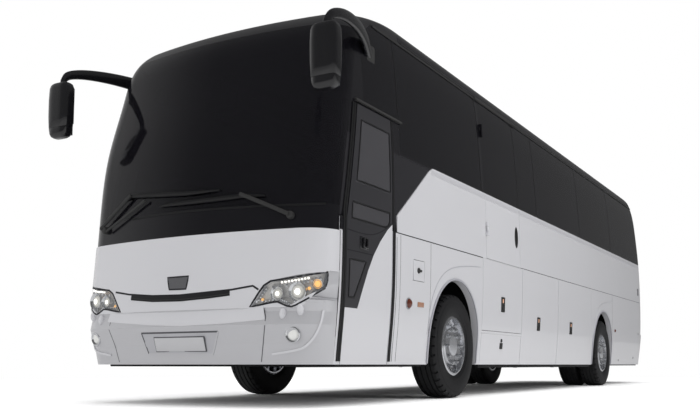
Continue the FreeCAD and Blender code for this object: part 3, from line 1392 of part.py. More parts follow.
def mirror(side):
    """One mirror: a swept arm and a rounded head."""
    points = [V(side * size["mirror_side"] * out, from_axle(size["corner_seam_ahead"] * back),
                size["gutter_height"] * up) for out, back, up in ARM_SHARES]
    path = Part.BSplineCurve()
    path.interpolate(points)
    start = points[0]
    direction = path.tangent(path.FirstParameter)[0]
    ring_wire = Part.Wire(Part.Circle(start, direction, size["mirror_arm_radius"]).toShape())
    arm = Part.Wire(path.toShape()).makePipeShell([ring_wire], True, False)
    head = Part.makeBox(size["mirror_head_width"], size["mirror_head_depth"], size["mirror_head_height"])
    head = head.makeFillet(size["mirror_head_round"], head.Edges)
    head.translate(V(side * size["mirror_side"] - size["mirror_head_width"] / 2,
                     size["nose_y"] - size["mirror_reach"],
                     size["mirror_height"] - size["mirror_head_height"] / 2))
    return arm.fuse(head)


fixed(Part.makeCompound([mirror(side).cut(zone_form("nose", 0.0)).Solids[0] for side in (1, -1)]), "mirrors")

# Wipers: pivot and tip across the glass, as shares of the half width
WIPER_SHARES = ((-0.70, -0.06), (0.16, 0.92))


def wiper(pivot_share, tip_share):
    """One wiper just off the glass, from its pivot on the scuttle to its tip."""
    half = size["half_width"]
    low_point = V(half * pivot_share, nose, size["glass_low"] - size["wiper_foot_drop"])
    high_point = V(half * tip_share, nose, size["glass_low"] + size["wiper_tip_rise"])
    thick = V(0, 0, size["wiper_width"])
    face = Part.Face(Part.makePolygon([low_point, high_point, high_point + thick, low_point + thick,
                                       low_point]))
    return layer(2 * proud, 0.0, face.extrude(V(0, size["front_overhang"] / 4, 0)), ("nose",))


wiper_pieces = [wiper(pivot, tip).Solids[0] for pivot, tip in WIPER_SHARES]
fixed(Part.makeCompound(wiper_pieces), "wipers")

# Marker lamps: back from the front axle as a share of the length, height as a share of the roof's, and size
# as a
# share of the width
MARK_SHARES = ((-0.0913, 0.2449, 0.0353), (0.5748, 0.2510, 0.0235), (0.7617, 0.1961, 0.0275))
marks = []
for back_share, level_share, tall_share in MARK_SHARES:
    mark_y = from_axle(back_share * size["body_length"])
    mark_z = level_share * size["roof_height"]
    mark_half = tall_share * size["half_width"]
    for side in (1, -1):
        span = sorted((side * size["aisle_half"], side * (far + size["overrun"])))
        region = prism(rectangle(mark_y - mark_half, mark_y + mark_half, mark_z - mark_half,
                                 mark_z + mark_half), *span)
        marks.append(layer(2 * proud, proud, region).Solids[0])
fixed(Part.makeCompound(marks), "marker_lamps")

# Tail lamps: their inner and outer edges as shares of the half width
TAIL_LAMP_SHARES = (0.75, 0.90)
tail_marks = []
for side in (1, -1):
    inner_x, outer_edge_x = (side * share * size["half_width"] for share in TAIL_LAMP_SHARES)
    points = [(inner_x, size["tail_lamp_low"]), (outer_edge_x, size["tail_lamp_low"]),
              (outer_edge_x, size["tail_lamp_top"]), (inner_x, size["tail_lamp_top"])]
    region = front_prism(points, tail_seam, tail)
    tail_marks.append(layer(proud, 0.0, region, ("tail",)).Solids[0])
fixed(Part.makeCompound(tail_marks), "tail_lamps")

doc.recompute()

problems = []
for item in doc.Objects:
    if "Invalid" in item.State or "Error" in item.State:
        problems.append(f"{item.Label}: {item.State}")
for item in PARTS:
    shape = item.Shape
    if shape.isNull() or not shape.isValid() or not shape.Solids:
        problems.append(f"{item.Label}: no valid solid")
if problems:
    raise RuntimeError("; ".join(problems))

os.makedirs("parts", exist_ok=True)
for item in PARTS:
    item.Shape.exportStep(os.path.join("parts", item.Label + ".step"))
print(len(PARTS), "sub-parts written")
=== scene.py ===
"""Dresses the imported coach: finishes for its panels, and its tyres, lamps, seals, fittings and studio."""

from __future__ import annotations

import json
import logging
import math
from dataclasses import dataclass, field
from enum import Enum
from typing import Iterable, Sequence

import bmesh
import bpy
from mathutils import Matrix, Vector
from mathutils.bvhtree import BVHTree

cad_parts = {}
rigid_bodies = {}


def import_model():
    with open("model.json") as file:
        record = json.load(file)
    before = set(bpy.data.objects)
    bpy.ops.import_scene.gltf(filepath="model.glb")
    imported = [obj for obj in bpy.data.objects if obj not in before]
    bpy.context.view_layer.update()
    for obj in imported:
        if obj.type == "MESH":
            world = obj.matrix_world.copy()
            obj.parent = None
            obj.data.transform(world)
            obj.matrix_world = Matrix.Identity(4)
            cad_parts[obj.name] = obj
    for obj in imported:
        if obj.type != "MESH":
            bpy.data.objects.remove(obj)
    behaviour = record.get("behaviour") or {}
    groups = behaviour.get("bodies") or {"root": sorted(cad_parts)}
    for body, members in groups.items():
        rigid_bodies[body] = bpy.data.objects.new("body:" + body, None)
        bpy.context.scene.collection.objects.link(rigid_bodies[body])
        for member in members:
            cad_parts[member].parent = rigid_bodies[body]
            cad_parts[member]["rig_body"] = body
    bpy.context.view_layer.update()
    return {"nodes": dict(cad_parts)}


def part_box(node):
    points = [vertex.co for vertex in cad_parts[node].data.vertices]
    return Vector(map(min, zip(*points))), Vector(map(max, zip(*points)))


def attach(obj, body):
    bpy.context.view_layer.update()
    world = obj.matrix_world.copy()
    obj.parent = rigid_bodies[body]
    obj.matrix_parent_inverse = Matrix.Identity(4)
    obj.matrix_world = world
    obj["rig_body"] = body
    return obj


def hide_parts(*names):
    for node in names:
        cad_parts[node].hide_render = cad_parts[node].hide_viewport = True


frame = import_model()

LOG = logging.getLogger("coach")

FRONT_AXLE_Y = -3.18
REAR_AXLE_Y = 2.90
WHEEL_BASE = REAR_AXLE_Y - FRONT_AXLE_Y
WAIST_TOP = 2.23
LEFT, RIGHT = 1, -1
BOTH = (LEFT, RIGHT)
SIDE_NAMES = {LEFT: "left", RIGHT: "right"}
UP = Vector((0, 0, 1))
OUT_X = Vector((1, 0, 0))
BACK_Y = Vector((0, 1, 0))

# How far thin seams stand off the skin and reach into it, the usual edge radius, and the angles of shading
SEAM_RISE = 0.0008
SEAM_SINK = 0.003
TRIM_SINK = 0.004
EDGE_ROUND = 0.003
FLAT_ANGLE = 30.0
TRIM_ANGLE = 40.0
BAR_ANGLE = 50.0
LENS_ANGLE = 60.0
COAT_ROUGHNESS = 0.03
BUMP_STRENGTH = 0.6
CURVE_TOP = 4.0

Place = tuple[Vector, Vector]
Spot = tuple[float, float]


def from_axle(back: float) -> float:
    """The place along the coach of a distance back from the front axle."""
    return FRONT_AXLE_Y + back


@dataclass(frozen=True)
class Nodes:
    """A node tree, with short ways to add nodes to it and fill their inputs."""

    tree: bpy.types.NodeTree

    def first(self, kind: str) -> bpy.types.Node:
        """The first node of one type."""
        return next(node for node in self.tree.nodes if node.type == kind)

    def fill(self, node: bpy.types.Node, inputs: dict[str | int, object]) -> None:
        """Gives a node's inputs their values, or links them to other nodes' outputs.

        Args:
            node: the node.
            inputs: a value or an output for each input, by the input's name or number.
        """
        for key, value in inputs.items():
            if isinstance(value, bpy.types.NodeSocket):
                self.tree.links.new(value, node.inputs[key])
            else:
                node.inputs[key].default_value = value

    def add(self, kind: str, inputs: dict[str | int, object] | None = None, operation: str = "",
            easing: str = "") -> bpy.types.Node:
        """Adds a node.

        Args:
            kind: the node's type, without its prefix.
            inputs: what its inputs are given.
            operation: what a calculating node does.
            easing: how a range node eases.

        Returns:
            The node.
        """
        node = self.tree.nodes.new(f"ShaderNode{kind}")
        if operation:
            node.operation = operation
        if easing:
            node.interpolation_type = easing
        self.fill(node, inputs or {})
        return node


@dataclass(frozen=True)
class GrainRecipe:
    """How a grain looks in nodes: its scale, how much it changes colour and roughness, and its depth."""

    scale: float
    colour_swing: float
    rough_swing: float
    depth: float
    stretch: tuple[float, float, float] = (1.0, 1.0, 1.0)
    detail: float = 3.0


class Grain(Enum):
    """The small-scale surface of a finish."""

    SMOOTH = GrainRecipe(3.0, 0.02, 0.01, 0.0)
    PAINT = GrainRecipe(0.7, 0.006, 0.015, 0.0)
    MOULDED = GrainRecipe(260.0, 0.10, 0.06, 0.00025)
    RUBBER = GrainRecipe(90.0, 0.22, 0.08, 0.00035)
    CAST = GrainRecipe(60.0, 0.22, 0.10, 0.0006)
    BRUSHED = GrainRecipe(40.0, 0.08, 0.10, 0.0001, (1.0, 14.0, 1.0))
    FABRIC = GrainRecipe(340.0, 0.35, 0.05, 0.0006)
    FLOOR = GrainRecipe(150.0, 0.25, 0.08, 0.0001)
    RIBBED = GrainRecipe(30.0, 0.12, 0.06, 0.0004, (1.0, 1.0, 6.0))


@dataclass(frozen=True)
class Finish:
    """One material: its colour in linear light and how it takes light."""

    name: str
    colour: tuple[float, float, float]
    rough: float = 0.4
    metal: float = 0.0
    coat: float = 0.0
    alpha: float = 1.0
    ior: float = 1.45
    glow: float = 0.0
    sheen: float = 0.0
    grain: Grain = Grain.SMOOTH

    def build(self) -> bpy.types.Material:
        """Makes the node material: a noise that shifts its colour and roughness, and stands as relief.

        Returns:
            The material, new or made before.
        """
        made = bpy.data.materials.get(self.name)
        if made:
            return made
        made = bpy.data.materials.new(self.name)
        made.use_nodes = True
        nodes = Nodes(made.node_tree)
        shader = nodes.first("BSDF_PRINCIPLED")
        recipe = self.grain.value
        place = nodes.add("TexCoord")
        mapping = nodes.add("Mapping", {"Vector": place.outputs["Object"], "Scale": recipe.stretch})
        noise = nodes.add("TexNoise", {"Vector": mapping.outputs["Vector"], "Scale": recipe.scale,
                                       "Detail": recipe.detail}).outputs["Fac"]
        tones = nodes.add("ValToRGB", {"Fac": noise})
        for element, position, hand in zip(tones.color_ramp.elements, (0.3, 0.7), (-1, 1)):
            element.position = position
            tone = (min(1.0, max(0.0, part * (1 + hand * recipe.colour_swing))) for part in self.colour)
            element.color = (*tone, 1.0)
        spread = nodes.add("MapRange", {"Value": noise, "To Min": max(0.0, self.rough - recipe.rough_swing),
                                        "To Max": min(1.0, self.rough + recipe.rough_swing)})
        nodes.fill(shader, {"Base Color": tones.outputs["Color"], "Roughness": spread.outputs["Result"],
                            "Metallic": self.metal, "IOR": self.ior, "Alpha": self.alpha,
                            "Coat Weight": self.coat, "Coat Roughness": COAT_ROUGHNESS,
                            "Sheen Weight": self.sheen})
        if self.glow:
            nodes.fill(shader, {"Emission Color": (*self.colour, 1.0), "Emission Strength": self.glow})
        if recipe.depth:
            relief = nodes.add("Bump", {"Strength": BUMP_STRENGTH, "Distance": recipe.depth, "Height": noise})
            nodes.fill(shader, {"Normal": relief.outputs["Normal"]})
        made.diffuse_color = (*self.colour, 1.0)
        return made


@dataclass(frozen=True)
class TwoTone:
    """A paint that changes along a line on the coach's side: below and behind it is the second tone."""

    name: str
    first: Finish
    second: Finish
    edge: tuple[Spot, ...]

    def build(self) -> bpy.types.Material:
        """Makes the two-tone material: a curve gives the height of the edge at each place along the coach.

        Returns:
            The material, new or made before.
        """
        made = bpy.data.materials.get(self.name)
        if made:
            return made
        made = self.first.build().copy()
        made.name = self.name
        nodes = Nodes(made.node_tree)
        shader = nodes.first("BSDF_PRINCIPLED")
        start, end = self.edge[0][0], self.edge[-1][0]
        place = nodes.add("TexCoord")
        parts = nodes.add("SeparateXYZ", {"Vector": place.outputs["Object"]})
        along = nodes.add("MapRange", {"Value": parts.outputs["Y"], "From Min": start, "From Max": end})
        curve = nodes.add("FloatCurve", {"Value": along.outputs["Result"]})
        points = curve.mapping.curves[0].points
        while len(points) < len(self.edge):
            points.new(0.5, 0.5)
        for point, (y, z) in zip(points, self.edge):
            point.location = ((y - start) / (end - start), z / CURVE_TOP)
            point.handle_type = "VECTOR"
        curve.mapping.update()
        height = nodes.add("Math", {0: curve.outputs["Value"], 1: CURVE_TOP}, "MULTIPLY")
        below = nodes.add("Math", {0: parts.outputs["Z"], 1: height.outputs["Value"]}, "LESS_THAN")
        mix = nodes.add("Mix", {"Factor": below.outputs["Value"]})
        mix.data_type = "RGBA"
        first, second = [number for number, socket in enumerate(mix.inputs) if socket.type == "RGBA"]
        nodes.fill(mix, {first: shader.inputs["Base Color"].links[0].from_socket,
                         second: (*self.second.colour, 1.0)})
        mixed = next(socket for socket in mix.outputs if socket.type == "RGBA")
        nodes.fill(shader, {"Base Color": mixed, "Coat Weight": self.second.coat})
        return made


class Paint:
    """The finishes of the coach."""

    WHITE = Finish("white_lacquer", (0.69, 0.69, 0.72), 0.26, coat=0.5, grain=Grain.PAINT)
    # A darker copy of the white lacquer: painted shade on the chamfer along the top of the white waist.
    CHAMFER_SHADE = Finish("white_lacquer_slope_shade", (0.58, 0.58, 0.61), 0.28, coat=0.4, grain=Grain.PAINT)
    # A darker copy of the white lacquer: painted shade on the wheel arches' turned-in edges and flare
    # creases.
    SHADE = Finish("white_lacquer_edge_shade", (0.44, 0.44, 0.48), 0.30, coat=0.3, grain=Grain.PAINT)
    SILVER = Finish("silver_lacquer", (0.56, 0.56, 0.585), 0.30, metal=0.20, coat=0.5, grain=Grain.PAINT)
    BLACK = Finish("black_lacquer", (0.0075, 0.0072, 0.0095), 0.20, ior=1.35, coat=0.15, grain=Grain.PAINT)
    PILLAR = Finish("pillar_grey", (0.019, 0.0185, 0.022), 0.24, ior=1.38, coat=0.15, grain=Grain.PAINT)
    BLACK_GLASS = Finish("black_pane", (0.0060, 0.0058, 0.0078), 0.05, ior=1.38, alpha=0.93)
    SCREEN = Finish("windscreen_pane", (0.0075, 0.0072, 0.0095), 0.04, ior=1.40, alpha=0.80)
    DOOR_GLASS = Finish("door_pane", (0.062, 0.061, 0.067), 0.10, ior=1.40, alpha=0.97)
    DOOR_GREY = Finish("door_grey", (0.024, 0.0235, 0.028), 0.30, coat=0.2, grain=Grain.PAINT)
    CAP = Finish("cap_black", (0.015, 0.0147, 0.017), 0.32, coat=0.2, grain=Grain.PAINT)
    SEAL = Finish("seal_rubber", (0.006, 0.006, 0.007), 0.55, grain=Grain.RUBBER)
    SEAM = Finish("seam_shadow", (0.016, 0.016, 0.020), 0.7, grain=Grain.MOULDED)
    # Dark grey for the bumper's seams and the plate's rim, and the painted shadow along the plate recess's
    # upper and left edges.
    SEAM_AND_SHADE_GREY = Finish("seam_and_shade_grey", (0.10, 0.10, 0.11), 0.6, grain=Grain.MOULDED)
    SLIT = Finish("slit_black", (0.008, 0.008, 0.010), 0.5, grain=Grain.MOULDED)
    # A darker silver: painted shade on the floor of the plate's recess.
    RECESS = Finish("plate_recess", (0.50, 0.50, 0.53), 0.4, grain=Grain.PAINT)
    TYRE = Finish("tyre_black", (0.0065, 0.0065, 0.0078), 0.62, grain=Grain.RUBBER)
    RIM = Finish("rim_metal", (0.68, 0.69, 0.72), 0.20, metal=1.0, grain=Grain.BRUSHED)
    DISC = Finish("hub_disc", (0.62, 0.63, 0.66), 0.30, metal=0.8, grain=Grain.BRUSHED)
    NUT = Finish("nut_steel", (0.60, 0.61, 0.63), 0.26, metal=1.0, grain=Grain.BRUSHED)
    IRON = Finish("axle_casting", (0.035, 0.035, 0.038), 0.6, grain=Grain.CAST)
    CHASSIS = Finish("chassis_black", (0.02, 0.02, 0.022), 0.5, grain=Grain.CAST)
    LINER = Finish("arch_liner", (0.010, 0.010, 0.011), 0.8, grain=Grain.MOULDED)
    PLASTIC = Finish("black_plastic", (0.009, 0.009, 0.010), 0.42, grain=Grain.MOULDED)
    GLOSS_PLASTIC = Finish("black_gloss_plastic", (0.012, 0.012, 0.014), 0.20, coat=0.3)
    MIRROR_SHELL = Finish("mirror_shell", (0.008, 0.008, 0.0095), 0.20, coat=0.35, grain=Grain.PAINT)
    MIRROR = Finish("mirror_silver", (0.80, 0.82, 0.84), 0.02, metal=1.0)
    CHROME = Finish("chrome", (0.72, 0.73, 0.75), 0.10, metal=1.0)
    REFLECTOR_SATIN = Finish("lamp_bowl", (0.62, 0.60, 0.57), 0.25, metal=0.5)
    LAMP_GREY = Finish("lamp_housing", (0.40, 0.40, 0.42), 0.30, metal=0.6, grain=Grain.MOULDED)
    LENS = Finish("clear_lens", (0.80, 0.82, 0.86), 0.03, alpha=0.14, ior=1.40)
    LAMP_GLASS = Finish("lamp_bulb_glass", (0.72, 0.70, 0.64), 0.12, coat=0.5, glow=0.10)
    LIT = Finish("lit_lamp", (1.0, 0.98, 0.92), 0.3, glow=1.1)
    LIT_SOFT = Finish("lit_fog_lamp", (0.82, 0.82, 0.80), 0.15, glow=0.10)
    LIT_AMBER = Finish("lit_amber", (1.0, 0.52, 0.12), 0.3, glow=0.5)
    AMBER = Finish("amber_lens", (0.62, 0.17, 0.03), 0.12, coat=0.5, grain=Grain.RIBBED)
    BROWN_AMBER = Finish("deep_amber_lens", (0.13, 0.030, 0.016), 0.14, coat=0.5, grain=Grain.RIBBED)
    TAN_LENS = Finish("pale_amber_lens", (0.42, 0.22, 0.14), 0.20, coat=0.4, grain=Grain.RIBBED)
    COPPER = Finish("orange_catch", (0.80, 0.46, 0.30), 0.35, coat=0.2, grain=Grain.MOULDED)
    RED = Finish("red_lens", (0.42, 0.012, 0.012), 0.14, coat=0.6, grain=Grain.RIBBED)
    WHITE_LENS = Finish("white_lens", (0.72, 0.73, 0.75), 0.14, coat=0.5, grain=Grain.RIBBED)
    PLATE = Finish("blank_plate", (0.60, 0.60, 0.62), 0.45, grain=Grain.PAINT)
    FABRIC = Finish("seat_cloth", (0.040, 0.046, 0.075), 0.9, sheen=0.3, grain=Grain.FABRIC)
    LEATHER = Finish("seat_side", (0.022, 0.022, 0.025), 0.5, grain=Grain.MOULDED)
    VINYL = Finish("floor_vinyl", (0.060, 0.063, 0.070), 0.6, grain=Grain.FLOOR)
    GREY = Finish("grey_trim", (0.085, 0.088, 0.095), 0.55, grain=Grain.MOULDED)
    TRIM_GREY = Finish("mid_grey_trim", (0.11, 0.11, 0.118), 0.40, grain=Grain.MOULDED)
    ENGINE = Finish("engine_grey", (0.10, 0.105, 0.11), 0.5, metal=0.4, grain=Grain.CAST)
    STEEL = Finish("bright_steel", (0.42, 0.42, 0.43), 0.35, metal=1.0, grain=Grain.BRUSHED)


LUGGAGE_DOORS = tuple(f"luggage_door_{side}_{end}" for side in ("left", "right") for end in ("front", "rear"))

NODE_FINISHES: dict[Finish, tuple[str, ...]] = {
    Paint.WHITE: ("left_lower_wall", "right_lower_wall", "waist_skins", "front_mask", "locker_door",
                  "lower_flap", *LUGGAGE_DOORS, "fuel_flap", "engine_door"),
    Paint.SILVER: ("front_bumper", "rear_bumper"),
    Paint.BLACK: ("roof_panel", "scuttle_panel", "roof_hatches"),
    Paint.CAP: ("roof_front_cap",),
    Paint.BLACK_GLASS: ("fixed_windows", "emergency_door_glass"),
    Paint.SCREEN: ("windscreen",),
    Paint.DOOR_GLASS: ("door_glass",),
    Paint.TYRE: ("tyre_front_left", "tyre_front_right", "tyres_rear_left", "tyres_rear_right"),
    Paint.RIM: ("rim_front_left", "rim_front_right", "rims_rear_left", "rims_rear_right"),
    Paint.IRON: ("front_axle", "rear_axle", "knuckle_left", "knuckle_right", "track_rod"),
    Paint.CHASSIS: ("chassis_frame", "fuel_tank"),
    Paint.LINER: ("wheelhouses", "hold_floor"),
    Paint.SEAL: ("air_springs",),
    Paint.PLASTIC: ("mirrors", "wipers", "dashboard", "steering_wheel", "roof_unit"),
    Paint.BROWN_AMBER: ("marker_lamps",),
    Paint.RED: ("tail_lamps",),
    Paint.LENS: ("headlamps",),
    Paint.VINYL: ("passenger_floor",),
    Paint.GREY: ("luggage_racks",),
    Paint.FABRIC: ("passenger_seats", "driver_seat"),
    Paint.ENGINE: ("engine_block",),
    Paint.STEEL: ("exhaust", "door_arms"),
}

# The edge between the door's dark upper part and its white lower part: place along the coach, and height.
DOOR_EDGE = tuple((from_axle(back), high) for back, high in (
    (-2.26, 0.786), (-2.025, 0.786), (-1.96, 0.93), (-1.875, 1.10), (-1.778, 1.248), (-1.66, 1.38),
    (-1.53, 1.495), (-1.399, 1.582)))

# The edge between the upper wall's black and the paler field behind the passenger door.
PILLAR_EDGE = tuple((from_axle(back), high) for back, high in (
    (-2.80, 2.212), (-0.64, 2.212), (-0.60, 1.00), (9.20, 1.00)))

# The level edge between the black above the waist and the white below it.
WAIST_EDGE = ((FRONT_AXLE_Y, WAIST_TOP), (REAR_AXLE_Y + 4.0, WAIST_TOP))

SIDE_NODES = ("left_lower_wall", "right_lower_wall", "left_upper_wall", "right_upper_wall", "waist_skins",
              "door_leaf", "front_bumper", "front_mask", "scuttle_panel", "windscreen", "roof_front_cap",
              "roof_panel", "locker_door", "lower_flap", *LUGGAGE_DOORS, "fixed_windows", "emergency_door",
              "emergency_door_glass", "door_glass", "rear_wall", "rear_bumper", "fuel_flap", "engine_door",
              "headlamps")


def cad_finishes() -> None:
    """Gives every CAD node its finish."""
    finishes: dict[str, Finish | TwoTone] = {
        name: finish for finish, names in NODE_FINISHES.items() for name in names}
    field_tone = TwoTone("upper_wall_two_tone", Paint.BLACK, Paint.PILLAR, PILLAR_EDGE)
    finishes.update({
        "door_leaf": TwoTone("door_two_tone", Paint.DOOR_GREY, Paint.WHITE, DOOR_EDGE),
        "rear_wall": TwoTone("tail_two_tone", Paint.BLACK, Paint.WHITE, WAIST_EDGE),
        "emergency_door": TwoTone("emergency_door_two_tone", Paint.BLACK, Paint.WHITE, WAIST_EDGE),
        "left_upper_wall": field_tone, "right_upper_wall": field_tone})
    for name, finish in finishes.items():
        node = frame["nodes"][name]
        if not node.material_slots:
            node.data.materials.append(finish.build())
        for slot in node.material_slots:
            slot.material = finish.build()


def body_of_node(node: str) -> str:
    """The body that a CAD node rides on."""
    return frame["nodes"][node]["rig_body"]


def smooth_path(points: Sequence[Sequence[float]], steps: int = 6) -> list[Vector]:
    """Rounds a few control points into a finer path that passes through them.

    Args:
        points: the control points.
        steps: the points made for each stretch.

    Returns:
        The finer path.
    """
    knots = [Vector(point) for point in points]
    made = []
    for index in range(len(knots) - 1):
        before = knots[max(index - 1, 0)]
        start, end = knots[index], knots[index + 1]
        after = knots[min(index + 2, len(knots) - 1)]
        for step in range(steps):
            part = step / steps
            square, cube = part * part, part ** 3
            made.append(0.5 * (2 * start + (end - before) * part
                               + (2 * before - 5 * start + 4 * end - after) * square
                               + (3 * start - before - 3 * end + after) * cube))
    made.append(knots[-1])
    return made


def bent(points: Sequence[Spot], steps: int = 5) -> list[Spot]:
    """Rounds a broken line of flat points into a smooth one through its corners."""
    return [(point.x, point.y) for point in smooth_path([(a, b, 0) for a, b in points], steps)]


def between(points: Sequence[Spot], steps: int) -> list[Spot]:
    """Divides each stretch of a broken line of flat points into short steps."""
    made = []
    for start, end in zip(points, points[1:]):
        for step in range(steps):
            part = step / steps
            made.append((start[0] + (end[0] - start[0]) * part, start[1] + (end[1] - start[1]) * part))
    made.append(points[-1])
    return made


def mirrored(path: Sequence[Place]) -> list[Place]:
    """The same path on the coach's other side."""
    return [(Vector((-point.x, point.y, point.z)), Vector((-normal.x, normal.y, normal.z)))
            for point, normal in path]


@dataclass
class Skin:
    """The outer faces of some CAD nodes, for setting pieces on them."""

    nodes: tuple[str, ...]
    tree: BVHTree = field(init=False)

    def __post_init__(self) -> None:
        """Gathers the nodes' triangles."""
        points: list[Vector] = []
        faces: list[tuple[int, ...]] = []
        for name in self.nodes:
            mesh = frame["nodes"][name].data
            start = len(points)
            points.extend(vertex.co.copy() for vertex in mesh.vertices)
            faces.extend(tuple(start + index for index in polygon.vertices) for polygon in mesh.polygons)
        self.tree = BVHTree.FromPolygons(points, faces)

    def cast(self, start: Vector, way: Vector) -> Place:
        """Finds where a line first meets the skin.

        Args:
            start: where the line starts.
            way: its direction.

        Returns:
            The point met and the outward normal there.
        """
        place, normal = self.tree.ray_cast(start, way.normalized())[:2]
        if place is None:
            raise ValueError(f"no skin of {self.nodes[0]} from {tuple(start)}")
        if normal.dot(way) > 0:
            normal = -normal
        return place, normal


@dataclass(frozen=True)
class Sight:
    """The photograph's eye: a level camera that looks at the coach from low down at its left front corner."""

    eye: tuple[float, float, float] = (4.68, from_axle(-8.104), 0.335)
    turn: float = math.radians(29.91)
    reach: float = 850.0
    middle: float = 350.0
    horizon: float = 364.5

    def meet(self, skin: Skin, across: float, down: float) -> Place:
        """Where the line of sight through one place in the picture meets a skin."""
        sideways = (across - self.middle) / self.reach
        rise = (self.horizon - down) / self.reach
        way = Vector((-math.sin(self.turn) + sideways * math.cos(self.turn),
                      math.cos(self.turn) + sideways * math.sin(self.turn), rise))
        return skin.cast(Vector(self.eye), way)


SIGHT = Sight()


@dataclass
class Sides:
    """The body's outer faces, met from the side, the front, the back, above or the photograph's eye."""

    skin: Skin = field(default_factory=lambda: Skin(SIDE_NODES))
    beside: float = 3.0
    beyond: float = 9.0
    above: float = 6.0

    def at(self, back: float, high: float, hand: int = LEFT) -> Place:
        """The skin of one side at a distance back from the front axle and a height."""
        return self.skin.cast(Vector((hand * self.beside, from_axle(back), high)), Vector((-hand, 0, 0)))

    def ahead(self, across: float, high: float) -> Place:
        """The skin of the nose at a place across the coach and a height."""
        return self.skin.cast(Vector((across, -self.beyond, high)), BACK_Y)

    def behind(self, across: float, high: float) -> Place:
        """The skin of the tail at a place across the coach and a height."""
        return self.skin.cast(Vector((across, self.beyond, high)), -BACK_Y)

    def over(self, across: float, back: float) -> Place:
        """The skin of the roof at a place across and a distance back from the front axle."""
        return self.skin.cast(Vector((across, from_axle(back), self.above)), -UP)

    def sight(self, across: float, down: float) -> Place:
        """The skin at one place in the picture."""
        return SIGHT.meet(self.skin, across, down)

    def line(self, points: Sequence[Spot], hand: int = LEFT, steps: int = 8) -> list[Place]:
        """Lays a broken line of places back from the front axle and heights on one side."""
        return [self.at(back, high, hand) for back, high in between(points, steps)]

    def seen(self, places: Sequence[Spot], steps: int = 4) -> list[Place]:
        """Lays a broken line of the picture on the skin."""
        return [self.sight(*place) for place in between(places, steps)]


